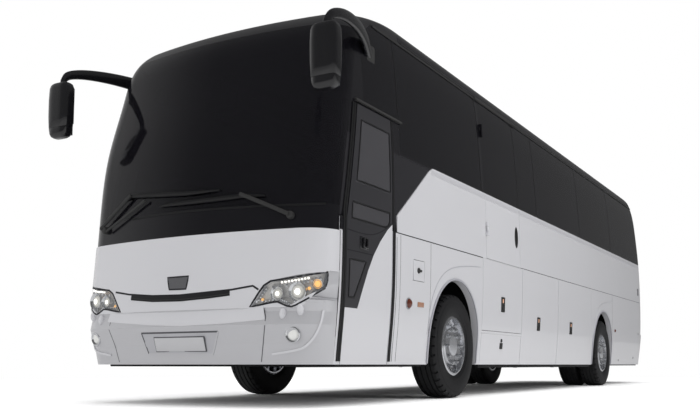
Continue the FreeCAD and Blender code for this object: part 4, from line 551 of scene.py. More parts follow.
class Shaper:
    """Starts one mesh piece, adds shapes to it with mesh operators, and hands it over."""

    def __init__(self, name: str, finish: Finish, slot: str, body: str = "body", smooth: float = TRIM_ANGLE,
                 stands_for: Iterable[str] = ()) -> None:
        """Opens an empty mesh for the piece.

        Args:
            name: the piece's name.
            finish: its finish.
            slot: the record's material slot, not used.
            body: the CAD body that it moves with.
            smooth: edges sharper than this many degrees stay sharp.
            stands_for: the CAD nodes that it takes the place of.
        """
        self.name = name
        self.coat = finish
        self.slot = slot
        self.body = body
        self.smooth = smooth
        self.stands_for = tuple(stands_for)
        self.bm = bmesh.new()

    @staticmethod
    def turned(normal: Vector, up: Vector = UP) -> Matrix:
        """The turn that lays a piece's own Z along a normal, with its Y towards up."""
        z_way = normal.normalized()
        x_way = up.cross(z_way)
        if x_way.length < 1e-4:
            x_way = BACK_Y.cross(z_way)
        x_way.normalize()
        y_way = z_way.cross(x_way)
        return Matrix((x_way, y_way, z_way)).transposed().to_4x4()

    def block(self, centre: Vector, size: Sequence[float], turn: Matrix | None = None,
              bevel: float = EDGE_ROUND, segments: int = 2) -> Shaper:
        """Adds a block with rounded edges.

        Args:
            centre: its middle.
            size: its width, height and depth along its own axes.
            turn: its turn.
            bevel: the radius of its edges, or zero.
            segments: the steps round each edge.

        Returns:
            The shaper.
        """
        place = Matrix.Translation(centre) @ (turn or Matrix.Identity(4)) @ Matrix.Diagonal((*size, 1.0))
        made = bmesh.ops.create_cube(self.bm, size=1.0, matrix=place)["verts"]
        if bevel:
            edges = list({edge for vert in made for edge in vert.link_edges})
            bmesh.ops.bevel(self.bm, geom=edges, offset=bevel, segments=segments, profile=0.5, affect="EDGES",
                            material=-1)
        return self

    def slab(self, place: Place, size: Sequence[float], out: float = 0.0, up: float = 0.0,
             across: float = 0.0, bevel: float = EDGE_ROUND) -> Shaper:
        """Adds a block that lies on the skin.

        Args:
            place: the place on the skin.
            size: the block's breadth, height and thickness.
            out: how far its middle stands off the place.
            up: how far it is moved up the skin.
            across: how far it is moved across the skin.
            bevel: the radius of its edges, or zero.

        Returns:
            The shaper.
        """
        point, normal = place
        turn = self.turned(normal)
        middle = point + normal * out + turn.col[1].xyz * up + turn.col[0].xyz * across
        return self.block(middle, size, turn, bevel)

    def cone(self, base: Vector, way: Vector, low_radius: float, high_radius: float, length: float,
             steps: int = 24, bevel: float = 0.0) -> Shaper:
        """Adds a cylinder or cone.

        Args:
            base: the middle of its low end.
            way: the direction of its axis.
            low_radius: its radius at the base.
            high_radius: its radius at the far end.
            length: its length.
            steps: the sides round it.
            bevel: the radius of its two rims.

        Returns:
            The shaper.
        """
        place = Matrix.Translation(base + way.normalized() * (length / 2)) @ self.turned(way)
        made = bmesh.ops.create_cone(self.bm, cap_ends=True, segments=steps, radius1=low_radius,
                                     radius2=high_radius, depth=length, matrix=place)["verts"]
        if bevel:
            rims = [edge for edge in {e for vert in made for e in vert.link_edges}
                    if not all(len(face.verts) == 4 for face in edge.link_faces)]
            bmesh.ops.bevel(self.bm, geom=rims, offset=bevel, segments=2, profile=0.5, affect="EDGES",
                            material=-1)
        return self

    def stud(self, place: Place, low_radius: float, high_radius: float, length: float, steps: int,
             sink: float = 0.002, across: float = 0.0, bevel: float = 0.001) -> Shaper:
        """Adds a round stud that stands on the skin, moved across it and sunk into it."""
        point, normal = place
        base = point + self.turned(normal).col[0].xyz * across - normal * sink
        return self.cone(base, normal, low_radius, high_radius, length, steps, bevel)

    def ball(self, centre: Vector, radius: float, scale: Sequence[float] = (1, 1, 1),
             turn: Matrix | None = None, detail: int = 16) -> Shaper:
        """Adds a ball or an egg."""
        place = Matrix.Translation(centre) @ (turn or Matrix.Identity(4)) @ Matrix.Diagonal((*scale, 1.0))
        bmesh.ops.create_uvsphere(self.bm, u_segments=detail, v_segments=detail // 2, radius=radius,
                                  matrix=place)
        return self

    def dome(self, place: Place, radius: float, scale: Sequence[float], detail: int = 28,
             out: float = 0.0) -> Shaper:
        """Adds an egg whose short way stands off the skin."""
        point, normal = place
        return self.ball(point + normal * out, radius, scale, self.turned(normal), detail)

    def lathe(self, profile: Sequence[Spot], centre: Vector, axis: Vector, steps: int = 64,
              closed: bool = True) -> list[bmesh.types.BMFace]:
        """Spins a profile once round an axis.

        Args:
            profile: places along the axis and radii.
            centre: the middle of the axis.
            axis: its direction.
            steps: the steps round.
            closed: whether the profile joins up with its start.

        Returns:
            The faces made.
        """
        way = axis.normalized()
        side = UP if abs(way.z) < 0.9 else OUT_X
        side = (side - way * side.dot(way)).normalized()
        verts = [self.bm.verts.new(centre + way * along + side * out) for along, out in profile]
        edges = [self.bm.edges.new(pair) for pair in zip(verts, verts[1:])]
        if closed:
            edges.append(self.bm.edges.new((verts[-1], verts[0])))
        before = set(self.bm.faces)
        bmesh.ops.spin(self.bm, geom=verts + edges, cent=centre, axis=way, dvec=(0, 0, 0), angle=math.tau,
                       steps=steps, use_merge=True, use_duplicate=False)
        made = [face for face in self.bm.faces if face not in before]
        bmesh.ops.remove_doubles(self.bm, verts=list({v for face in made for v in face.verts}), dist=1e-5)
        return [face for face in self.bm.faces if face not in before]

    def strip(self, path: Sequence[Place], width: float, rise: float, sink: float = TRIM_SINK,
              loop: bool = False) -> Shaper:
        """Lays a flat strip along a path on a skin.

        Args:
            path: points on the skin with the skin's normals.
            width: the strip's width.
            rise: how far it stands off the skin.
            sink: how far it reaches into the skin.
            loop: whether it closes on itself.

        Returns:
            The shaper.
        """
        count = len(path)
        made = bmesh.ops.create_grid(self.bm, x_segments=max(count - 1, 1), y_segments=1, size=0.5)
        verts = sorted(made["verts"], key=lambda v: (round(v.co.x, 5), v.co.y))
        for index, (point, normal) in enumerate(path):
            ahead = path[(index + 1) % count][0] if loop or index + 1 < count else point
            behind = path[index - 1][0] if loop or index else point
            sideways = normal.cross((ahead - behind).normalized()).normalized()
            for place, hand in ((0, -1), (1, 1)):
                verts[index * 2 + place].co = point + sideways * (hand * width / 2) + normal * rise
        if loop:
            self.bm.faces.new((verts[-2], verts[-1], verts[1], verts[0]))
        faces = list({face for vert in verts for face in vert.link_faces})
        bmesh.ops.recalc_face_normals(self.bm, faces=faces)
        grown = bmesh.ops.extrude_face_region(self.bm, geom=faces, use_keep_orig=True)
        for vert in (part for part in grown["geom"] if isinstance(part, bmesh.types.BMVert)):
            nearest = min(path, key=lambda pair: (pair[0] - vert.co).length)
            vert.co -= nearest[1] * (rise + sink)
        return self

    def patch(self, first: Sequence[Place], second: Sequence[Place], rise: float) -> Shaper:
        """Lays a sheet of skin between two rows of places.

        Args:
            first: one row.
            second: the other row, with as many places.
            rise: how far the sheet stands off the skin.

        Returns:
            The shaper.
        """
        made = bmesh.ops.create_grid(self.bm, x_segments=len(first) - 1, y_segments=1, size=0.5)
        verts = sorted(made["verts"], key=lambda vert: (round(vert.co.x, 5), vert.co.y))
        for index, pair in enumerate(zip(first, second)):
            for place, (point, normal) in enumerate(pair):
                verts[index * 2 + place].co = point + normal * rise
        return self

    def sheet(self, edge: Sequence[Place], rise: float) -> Shaper:
        """Closes a loop of places with one sheet that stands off the skin, or in from it."""
        face = self.bm.faces.new([self.bm.verts.new(point + normal * rise) for point, normal in edge])
        bmesh.ops.triangulate(self.bm, faces=[face])
        return self

    def joined(self, rings: Sequence[Sequence[bmesh.types.BMVert]]) -> Shaper:
        """Bridges a row of rings of vertices and closes both ends."""
        loops = [list({edge for vert in ring for edge in vert.link_edges}) for ring in rings]
        for low, high in zip(loops, loops[1:]):
            bmesh.ops.bridge_loops(self.bm, edges=low + high)
        for loop in (loops[0], loops[-1]):
            bmesh.ops.contextual_create(self.bm, geom=loop)
        return self

    def tube(self, points: Sequence[Vector], radii: Sequence[float], flat: float = 1.0,
             sides: int = 12) -> Shaper:
        """Runs a round or oval bar along a smooth path.

        Args:
            points: the path.
            radii: the bar's half thickness at each point.
            flat: its thickness as a share of its breadth.
            sides: the sides round it.

        Returns:
            The shaper.
        """
        rings = []
        for index, (point, radius) in enumerate(zip(points, radii)):
            ahead = points[min(index + 1, len(points) - 1)]
            behind = points[max(index - 1, 0)]
            turn = self.turned((ahead - behind).normalized())
            shape = Matrix.Translation(point) @ turn @ Matrix.Diagonal((flat, 1.0, 1.0, 1.0))
            ring = bmesh.ops.create_circle(self.bm, segments=sides, radius=radius, matrix=shape)
            rings.append(ring["verts"])
        return self.joined(rings)

    def finish(self, mend: bool = True) -> bpy.types.Object:
        """Closes the mesh, gives it its finish and hangs it on its body.

        Args:
            mend: whether doubles are merged and normals turned outwards.

        Returns:
            The piece's object.
        """
        if mend:
            bmesh.ops.remove_doubles(self.bm, verts=self.bm.verts[:], dist=2e-5)
            bmesh.ops.recalc_face_normals(self.bm, faces=self.bm.faces[:])
        mesh = bpy.data.meshes.new(self.name)
        self.bm.to_mesh(mesh)
        self.bm.free()
        mesh.polygons.foreach_set("use_smooth", [True] * len(mesh.polygons))
        mesh.set_sharp_from_angle(angle=math.radians(self.smooth))
        mesh.materials.append(self.coat.build())
        piece = bpy.data.objects.new(self.name, mesh)
        bpy.context.scene.collection.objects.link(piece)
        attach(piece, self.body)
        if self.stands_for:
            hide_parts(*self.stands_for)
        LOG.info("%s: %d faces on %s", self.name, len(mesh.polygons), self.body)
        return piece


@dataclass
class RoadWheels:
    """The six tyres, and the nuts, hub disc and hand-hole rims of each outer rim."""

    radius: float = 0.522
    bead: float = 0.284
    tyre_half: float = 0.145
    groove: float = 0.006
    groove_depth: float = 0.015
    tread_steps: int = 72
    bolt_circle: float = 0.1675
    nut_count: int = 10
    hole_circle: float = 0.232
    hole_reach: float = 0.029
    wheel_x: float = 1.105
    twin_gap: float = 0.335
    outside: float = 0.5

    def tyre_profile(self) -> list[Spot]:
        """The tyre's section: bead, sidewall with its rings, shoulder and ribbed tread."""
        half = [(-0.115, self.bead + 0.014), (-0.121, self.bead + 0.012), (-0.127, 0.305), (-0.1335, 0.328),
                (-0.1355, 0.333), (-0.1375, 0.334), (-0.1445, 0.378), (-self.tyre_half, 0.400),
                (-0.1445, 0.420), (-0.1425, 0.447), (-0.1400, 0.450), (-0.1385, 0.470), (-0.1345, 0.492),
                (-0.128, 0.506), (-0.118, 0.5150)]
        floor = self.radius - self.groove_depth
        for edge in (-0.078, -0.028):
            half += [(edge - self.groove, self.radius - 0.0022), (edge - self.groove * 0.7, floor),
                     (edge + self.groove * 0.7, floor), (edge + self.groove, self.radius - 0.0008)]
        return half + [(-along, out) for along, out in reversed(half)]

    def tyre(self, shaper: Shaper, centre: Vector) -> None:
        """Adds one tyre with the sipes in its shoulders.

        Args:
            shaper: the piece that the tyre joins.
            centre: the wheel's middle.
        """
        faces = shaper.lathe(self.tyre_profile(), centre, OUT_X, self.tread_steps * 2, closed=False)
        shoulder = []
        for face in faces:
            middle = face.calc_center_median() - centre
            out = math.hypot(middle.y, middle.z)
            turn = round(math.atan2(middle.z, middle.y) / math.tau * self.tread_steps * 2 - 0.5)
            if out > 0.488 and abs(middle.x) > 0.085 and turn % 4 == 0:
                shoulder.append(face)
        bmesh.ops.inset_individual(shaper.bm, faces=shoulder, thickness=0.0018, depth=0.008)

    def build(self) -> None:
        """Makes the tyres and the fittings of every rim."""
        for kind, axle, places in (
                ("tyre_front", FRONT_AXLE_Y, (0.0,)), ("tyres_rear", REAR_AXLE_Y, (0.0, 1.0))):
            for hand in BOTH:
                node = f"{kind}_{SIDE_NAMES[hand]}"
                body = body_of_node(node)
                shaper = Shaper(f"road_{node}", Paint.TYRE, "tyre_rubber", body, FLAT_ANGLE, (node,))
                for place in places:
                    out = self.wheel_x - place * self.twin_gap
                    self.tyre(shaper, Vector((hand * out, axle, self.radius)))
                shaper.finish()
                self.fittings(node.split("_", 1)[1], "rims" if len(places) > 1 else "rim", hand, axle)

    def spokes(self, shift: float = 0.0) -> list[Vector]:
        """The directions of the rim's pattern, turned by a share of one step."""
        angles = (math.tau * (index + shift) / self.nut_count for index in range(self.nut_count))
        return [Vector((0, math.cos(angle), math.sin(angle))) for angle in angles]

    def fittings(self, name: str, kind: str, hand: int, axle: float) -> None:
        """Adds the nuts, hub disc and hand-hole rims of one outer rim.

        Args:
            name: the axle and side.
            kind: how the rim's node name starts.
            hand: the side.
            axle: the axle's place along the coach.
        """
        node = f"{kind}_{name}"
        body = body_of_node(node)
        skin = Skin((node,))
        way = Vector((hand, 0, 0))
        centre = Vector((hand * self.wheel_x, axle, self.radius))
        outside = centre + way * self.outside
        nuts = Shaper(f"wheel_nuts_{name}", Paint.NUT, "rim_steel", body, FLAT_ANGLE)
        for spoke in self.spokes():
            base = skin.cast(outside + spoke * self.bolt_circle, -way)[0]
            nuts.cone(base - way * 0.002, way, 0.0245, 0.0235, 0.008, 20)
            nuts.cone(base + way * 0.004, way, 0.0185, 0.0185, 0.022, 6, 0.0012)
            nuts.cone(base + way * 0.024, way, 0.0125, 0.0105, 0.012, 16, 0.001)
        nuts.finish()
        disc = Shaper(f"hub_disc_{name}", Paint.DISC, "rim_steel", body, FLAT_ANGLE)
        disc.lathe([(-0.006, 0.0), (0.010, 0.0), (0.009, 0.060), (0.004, 0.098), (-0.006, 0.104)],
                   Vector((base.x, centre.y, centre.z)), way, 48)
        disc.finish()
        holes = Shaper(f"hand_hole_rims_{name}", Paint.NUT, "rim_steel", body, FLAT_ANGLE)
        for spoke in self.spokes(0.5):
            low, high = (skin.cast(outside + spoke * (self.hole_circle + reach), -way)[0]
                         for reach in (-self.hole_reach, self.hole_reach))
            axis = (high - low).normalized().cross(spoke.cross(way)).normalized()
            if axis.dot(way) < 0:
                axis = -axis
            holes.lathe([(-0.004, 0.022), (0.002, 0.024), (0.002, 0.028), (-0.004, 0.030)], (low + high) / 2,
                        axis, 24)
        holes.finish()


@dataclass(frozen=True)
class Line:
    """One thin line on a side: where it runs, how wide it is and which sides have it."""

    points: tuple[Spot, ...]
    width: float
    hands: tuple[int, ...] = BOTH


SEAM_LINES = (
    Line(((-1.395, 1.4975), (0.726, 1.4975)), 0.009, (LEFT,)),
    Line(((-2.31, 1.4975), (0.832, 1.4975)), 0.009, (RIGHT,)),
    Line(((1.98, 1.5048), (8.88, 1.5048)), 0.006),
    Line(((-1.348, 0.36), (-1.348, 1.60)), 0.006, (LEFT,)),
    Line(((-1.274, 0.36), (-1.274, 1.485)), 0.004, (LEFT,)),
    Line(((-0.630, 0.36), (-0.630, 1.485)), 0.004),
    Line(((6.700, 0.36), (6.700, 1.485)), 0.004),
    Line(((-2.335, 0.36), (-2.335, 1.385)), 0.007),
    Line(((-2.335, 1.054), (-2.45, 1.054)), 0.006, (RIGHT,)),
    Line(((0.820, 1.51), (0.820, 2.215)), 0.006, (RIGHT,)),
    Line(((-1.35, 1.654), (-1.00, 1.915), (-0.645, 2.189)), 0.006),
    Line(((-1.26, 2.21), (-1.26, 2.46)), 0.010, (LEFT,)),
    Line(((-1.26, 2.212), (-0.63, 2.212)), 0.009, (LEFT,)),
    Line(((-1.100, 3.325), (-1.100, 3.40)), 0.008),
)

WINDOW_LINES = (-1.26, 0.756, 1.980, 2.706, 4.800, 6.756)

# Each lower door with a grip: back from the front axle, height and side
GRIPS = (("locker_door", 1.363, 1.02, LEFT), ("luggage_door_left_front", 2.70, 0.85, LEFT),
         ("luggage_door_left_rear", 4.19, 0.85, LEFT), ("luggage_door_right_front", 2.70, 0.85, RIGHT),
         ("luggage_door_right_rear", 4.19, 0.85, RIGHT))


@dataclass
class SideTrim:
    """Seams, seals, rails, locks, lenses and arch edges of both sides."""

    sides: Sides
    arch: float = 0.622
    arch_middle: float = 0.572
    arch_steps: int = 32
    skirt_top: float = 0.356
    skirt_side: float = 1.185
    step_height: float = 2.188
    step_width: float = 0.048
    pane_low: float = 2.245
    pane_low_ahead: float = 2.58
    pane_high: float = 3.312

    def build(self) -> None:
        """Makes the trim of the sides."""
        self.seams()
        self.seals()
        self.rails()
        self.arches()
        self.locks()
        self.lenses()
        self.crease()
        self.skirt()

    def seams(self) -> None:
        """Draws the seams between fixed panels and panes."""
        seams = Shaper("panel_seams", Paint.SEAM, "black_plastic")
        for line in SEAM_LINES:
            for hand in line.hands:
                seams.strip(self.sides.line(line.points, hand), line.width, SEAM_RISE, SEAM_SINK)
        seams.finish()
        panes = Shaper("pane_seams", Paint.SEAL, "black_plastic")
        for back in WINDOW_LINES:
            for hand in BOTH:
                low = self.pane_low if back > -1 or hand == RIGHT else self.pane_low_ahead
                seam = ((back + 0.002, low), (back + 0.002, self.pane_high))
                panes.strip(self.sides.line(seam, hand, 12), 0.012, 0.001)
        panes.finish()

    def seals(self) -> None:
        """Makes the rubber seals round the passenger door."""
        front = Shaper("door_front_seal", Paint.SEAL, "black_plastic")
        for back in (-2.285, -2.2535):
            edge = ((back, 0.36), (back, 1.50), (back + 0.197, 2.49))
            front.strip(self.sides.line(edge, steps=16), 0.026, 0.008)
        front.finish()
        rear = Shaper("door_rear_seal", Paint.SEAL, "black_plastic")
        edge = ((-1.4125, 0.36), (-1.4125, 1.50), (-1.4125, 2.49))
        rear.strip(self.sides.line(edge, steps=16), 0.030, 0.008)
        rear.strip(self.sides.line([(-1.386, 0.36), (-1.386, 1.50)], steps=12), 0.012, 0.004).finish()

    def rails(self) -> None:
        """Makes the drip rails over the doors and the gutters under the roof's edge."""
        rails = Shaper("drip_rails", Paint.PLASTIC, "black_plastic")
        rails.strip(self.sides.line([(-2.06, 2.522), (-1.21, 2.522)]), 0.020, 0.020)
        for hand in BOTH:
            rails.strip(self.sides.line([(0.77, 3.316), (2.17, 3.316)], hand), 0.026, 0.022)
        rails.finish()
        gutters = Shaper("gutters", Paint.PLASTIC, "black_plastic")
        for hand in BOTH:
            gutters.strip(self.sides.line([(-1.62, 3.313), (8.80, 3.313)], hand, 44), 0.016, 0.010)
        gutters.finish()
        edge = Shaper("roof_edge_highlight", Paint.CAP, "black_gloss", smooth=LENS_ANGLE)
        for hand in BOTH:
            edge.strip(self.sides.line([(-1.05, 3.345), (8.75, 3.345)], hand, 44), 0.012, 0.004)
        edge.finish()

    def arches(self) -> None:
        """Gives each wheel arch its turned-in edge and the crease of its flare, both in a darker white as
        painted shade.
        """
        lips = Shaper("arch_edge_shades", Paint.SHADE, "white_paint")
        creases = Shaper("arch_crease_shades", Paint.SHADE, "white_paint")
        angles = [math.pi * step / self.arch_steps for step in range(self.arch_steps + 1)]
        around = [(-self.arch * math.cos(angle), self.arch_middle + self.arch * math.sin(angle))
                  for angle in angles]
        edge = [(-self.arch, 0.345), (-self.arch, 0.46), *around, (self.arch, 0.46), (self.arch, 0.345)]
        flare = bent(((-0.66, 0.62), (-0.60, 0.93), (-0.42, 1.16), (-0.15, 1.29), (0.25, 1.355),
                      (0.655, 1.385)))
        for axle in (0.0, WHEEL_BASE):
            for hand in BOTH:
                lips.strip([self.sides.at(axle + back, high, hand) for back, high in edge], 0.020, 0.012,
                           SEAM_SINK)
                creases.strip([self.sides.at(axle + back, high, hand) for back, high in flare], 0.007, 0.0025,
                              0.002)
        lips.finish()
        creases.finish()

    def skirt(self) -> None:
        """Hangs the dark edge of the underbody behind the skirts."""
        edge = Shaper("underbody_edges", Paint.LINER, "black_plastic")
        for hand in BOTH:
            for start, end, low in ((-2.30, -0.72, 0.318), (0.72, 5.38, 0.300), (6.78, 8.75, 0.318)):
                middle = (hand * self.skirt_side, from_axle((start + end) / 2), (low + self.skirt_top) / 2)
                edge.block(Vector(middle), (0.030, end - start, self.skirt_top - low), bevel=0.004)
        edge.block(Vector((0, from_axle(-2.30), 0.337)), (2.34, 0.030, 0.038), bevel=0.004).finish()

    def crease(self) -> None:
        """Lays a strip of darker white along the top edge of the white waist: painted shade on the chamfer of
        its step.
        """
        step = Shaper("waist_step", Paint.CHAMFER_SHADE, "white_paint")
        door = Shaper("waist_step_on_emergency_door", Paint.CHAMFER_SHADE, "white_paint",
                      body_of_node("emergency_door"))
        for shaper, hand, start, end, steps in (
                (step, LEFT, -0.60, 0.825, 30), (step, LEFT, 1.985, 8.88, 30), (step, RIGHT, -0.60, 8.88, 30),
                (door, LEFT, 0.85, 1.96, 8)):
            edge = self.sides.line([(start, self.step_height), (end, self.step_height)], hand, steps)
            shaper.strip(edge, self.step_width, 0.0012, 0.002)
        step.finish()
        door.finish()

    def locks(self) -> None:
        """Makes the recessed grips, the locks and the cup of the emergency door's handle."""
        for node, back, high, hand in GRIPS:
            place = self.sides.at(back, high, hand)
            body = body_of_node(node)
            grip = Shaper(f"{node}_grip", Paint.PLASTIC, "black_plastic", body)
            for across in (-0.046, 0.046):
                grip.slab(place, (0.010, 0.170, 0.014), 0.003, across=across)
            for up in (-0.080, 0.0, 0.080):
                grip.slab(place, (0.092, 0.012, 0.014), 0.003, up)
            grip.slab(place, (0.088, 0.160, 0.003), 0.0005, bevel=0.0)
            grip.slab(place, (0.040, 0.030, 0.010), 0.005, -0.045).finish()
            catch = Shaper(f"{node}_catch", Paint.COPPER, "bright_steel", body)
            catch.slab(place, (0.034, 0.046, 0.010), 0.004, 0.042).finish()
        place = self.sides.at(1.37, 0.606)
        lock = Shaper("lower_flap_lock", Paint.PLASTIC, "black_plastic", body_of_node("lower_flap"))
        lock.stud(place, 0.022, 0.020, 0.010, 20).slab(place, (0.080, 0.070, 0.010), 0.003, -0.060).finish()
        place = self.sides.at(-0.90, 1.20)
        cap = Shaper("fuel_flap_lock", Paint.PLASTIC, "black_plastic", body_of_node("fuel_flap"))
        cap.stud(place, 0.028, 0.024, 0.012, 24).stud(place, 0.012, 0.011, 0.010, 20, across=0.052)
        cap.slab(place, (0.04, 0.010, 0.006), 0.003, across=0.026, bevel=0.0).finish()
        place = self.sides.at(1.845, 1.860)
        body = body_of_node("emergency_door")
        cup = Shaper("emergency_handle_cup", Paint.SEAL, "black_plastic", body, LENS_ANGLE)
        cup.dome(place, 0.5, (0.115, 0.26, 0.022)).finish()
        bar = Shaper("emergency_handle", Paint.PLASTIC, "black_plastic", body)
        bar.slab(place, (0.012, 0.17, 0.010), 0.008, bevel=0.004).finish()

    def lenses(self) -> None:
        """Makes the repeaters, side markers and reflectors."""
        rounds = Shaper("side_marker_lenses", Paint.BROWN_AMBER, "amber_lens", smooth=LENS_ANGLE,
                        stands_for=("marker_lamps",))
        rims = Shaper("side_marker_rims", Paint.LAMP_GREY, "grey_plastic")
        small = Shaper("side_reflectors", Paint.TAN_LENS, "amber_lens")
        dots = Shaper("side_vents", Paint.TRIM_GREY, "grey_plastic")
        repeater = (-1.095, 0.884)
        ring = [(-0.002, 0.044), (-0.002, 0.053), (0.006, 0.052), (0.009, 0.047), (0.006, 0.043)]
        for hand in BOTH:
            for back, high, half in ((*repeater, 0.046), (6.897, 0.906, 0.026), (9.14, 0.708, 0.034)):
                rounds.dome(self.sides.at(back, high, hand), 1.0, (half, half, half * 0.75))
            rims.lathe(ring, *self.sides.at(*repeater, hand), 36)
            small.slab(self.sides.at(-0.84, 0.887, hand), (0.125, 0.046, 0.010), 0.003)
            for back, high in ((8.77, 0.91), (8.44, 0.46), (7.27, 0.41)):
                dots.stud(self.sides.at(back, high, hand), 0.019, 0.017, 0.006, 18)
            dots.slab(self.sides.at(8.78, 1.698, hand), (0.075, 0.13, 0.008), 0.002)
        for shaper in (rounds, rims, small, dots):
            shaper.finish()


# The corners of the passenger door's panes: back from the front axle, and height
DOOR_PANES = (((-2.075, 1.834), (-1.478, 1.834), (-1.478, 2.362), (-1.978, 2.362)),
              ((-2.155, 1.512), (-1.575, 1.512), (-1.515, 1.535), (-1.492, 1.575), (-1.492, 1.648),
               (-2.140, 1.648)),
              ((-2.178, 0.872), (-2.092, 0.872), (-1.908, 1.178), (-2.178, 1.178)))


@dataclass
class DoorTrim:
    """The passenger door's pane frames, lines and handle."""

    sides: Sides

    def build(self) -> None:
        """Makes the door's trim, which rides on its leaf."""
        body = body_of_node("door_leaf")
        frames = Shaper("door_pane_frames", Paint.SEAL, "black_plastic", body)
        for corners in DOOR_PANES:
            frames.strip(self.sides.line(corners + corners[:1], LEFT, 6)[:-1], 0.014, 0.004, loop=True)
        frames.finish()
        lines = Shaper("door_lines", Paint.SEAM, "black_plastic", body)
        lines.strip(self.sides.line([(-2.222, 1.247), (-1.785, 1.247)]), 0.008, 0.001, SEAM_SINK)
        curve = bent(((-2.222, 1.411), (-2.00, 1.405), (-1.80, 1.420), (-1.62, 1.475), (-1.46, 1.560)))
        lines.strip([self.sides.at(back, high) for back, high in curve], 0.010, 0.001, SEAM_SINK).finish()
        place = self.sides.at(-1.945, 1.328)
        point, normal = place
        handle = Shaper("door_handle", Paint.GLOSS_PLASTIC, "black_plastic", body)
        handle.slab(place, (0.150, 0.104, 0.006), 0.001, bevel=0.002)
        for across in (-0.030, 0.030):
            handle.slab(place, (0.020, 0.080, 0.022), 0.012, across=across, bevel=0.006)
        handle.slab(place, (0.076, 0.018, 0.022), 0.012, -0.036, bevel=0.006)
        handle.cone(point + Shaper.turned(normal).col[1].xyz * 0.022, normal, 0.012, 0.011, 0.012, 18, 0.001)
        handle.finish()


# The lamp's outline and the lines of the nose, as places in the photograph
LAMP_EDGE = ((250.9, 308.0), (259.4, 294.0), (264.6, 286.6), (271.3, 282.2), (300.0, 277.5), (328.2, 273.2),
             (328.2, 282.0), (325.3, 290.0), (309.6, 298.8), (296.0, 306.2), (291.8, 307.6), (287.3, 306.9),
             (278.5, 302.9), (273.7, 303.1), (262.0, 305.8))
LID_LINE = ((118.3, 293.5), (131.8, 295.7), (155.0, 297.1), (182.0, 296.3), (210.0, 293.3), (232.3, 290.9),
            (253.8, 287.0), (259.4, 290.8))
SLIT_LINE = ((133.8, 298.6), (155.0, 300.3), (182.0, 299.6), (210.0, 296.7), (231.0, 293.7))
BUMPER_SEAM = ((264.4, 307.8), (266.9, 317.5), (266.4, 321.0), (263.2, 362.0))
# The corner creases of the bumper, laid as raised strips of white: painted highlights on their edges.
BUMPER_CREASE = ((323.6, 311.0), (321.4, 322.0), (316.6, 334.0), (310.5, 342.5), (303.2, 348.4),
                 (289.0, 352.0), (273.7, 354.2))
WING_INNER = ((328.4, 272.6), (328.3, 282.0), (325.5, 290.2), (317.5, 294.8), (309.6, 299.0), (303.0, 302.6))
WING_OUTER = ((339.8, 271.6), (339.7, 280.0), (339.5, 288.0), (339.3, 296.0), (338.8, 302.8), (310.0, 303.4))
# The edges of the band of white on the bumper's upper face: a painted highlight where that face tilts up to
# the light.
STEP_TOP = ((113.6, 314.6), (150.0, 313.6), (183.0, 312.8), (225.0, 310.6), (264.6, 308.2))
STEP_FOOT = ((111.0, 323.0), (150.0, 326.0), (183.0, 326.8), (225.0, 324.4), (266.2, 320.4))
SCREEN_FOOT = ((133.0, 220.3), (160.0, 215.8), (191.6, 212.0), (225.0, 209.3), (262.0, 207.0), (300.0, 205.6),
               (326.0, 204.4))
RECESS_EDGE = ((144.8, 334.0), (220.0, 332.2), (215.6, 354.4), (152.8, 354.2), (144.8, 334.0))
INSET_EDGE = ((169.3, 279.0), (190.0, 277.4), (187.7, 290.2), (171.2, 290.9), (169.3, 279.0))
LED_ROW = ((282.0, 283.2), (309.0, 278.9))
UPPER_VANES = ((256.5, 303.0), (266.0, 289.0), (300.0, 283.5), (322.0, 279.0))
LOWER_VANES = ((262.0, 303.5), (280.0, 301.5), (290.0, 305.0), (312.0, 295.5))
PROJECTORS = (((297.2, 292.4), 0.068), ((276.9, 294.6), 0.050))
INDICATORS = (((318.7, 284.9), 0.026), ((310.0, 289.2), 0.014), ((262.5, 300.5), 0.012))
FOG_LAMP = (293.7, 335.1)
WASHERS = ((283.8, 314.0), (300.9, 310.8))
PLATE_MIDDLE = (183.0, 344.6)


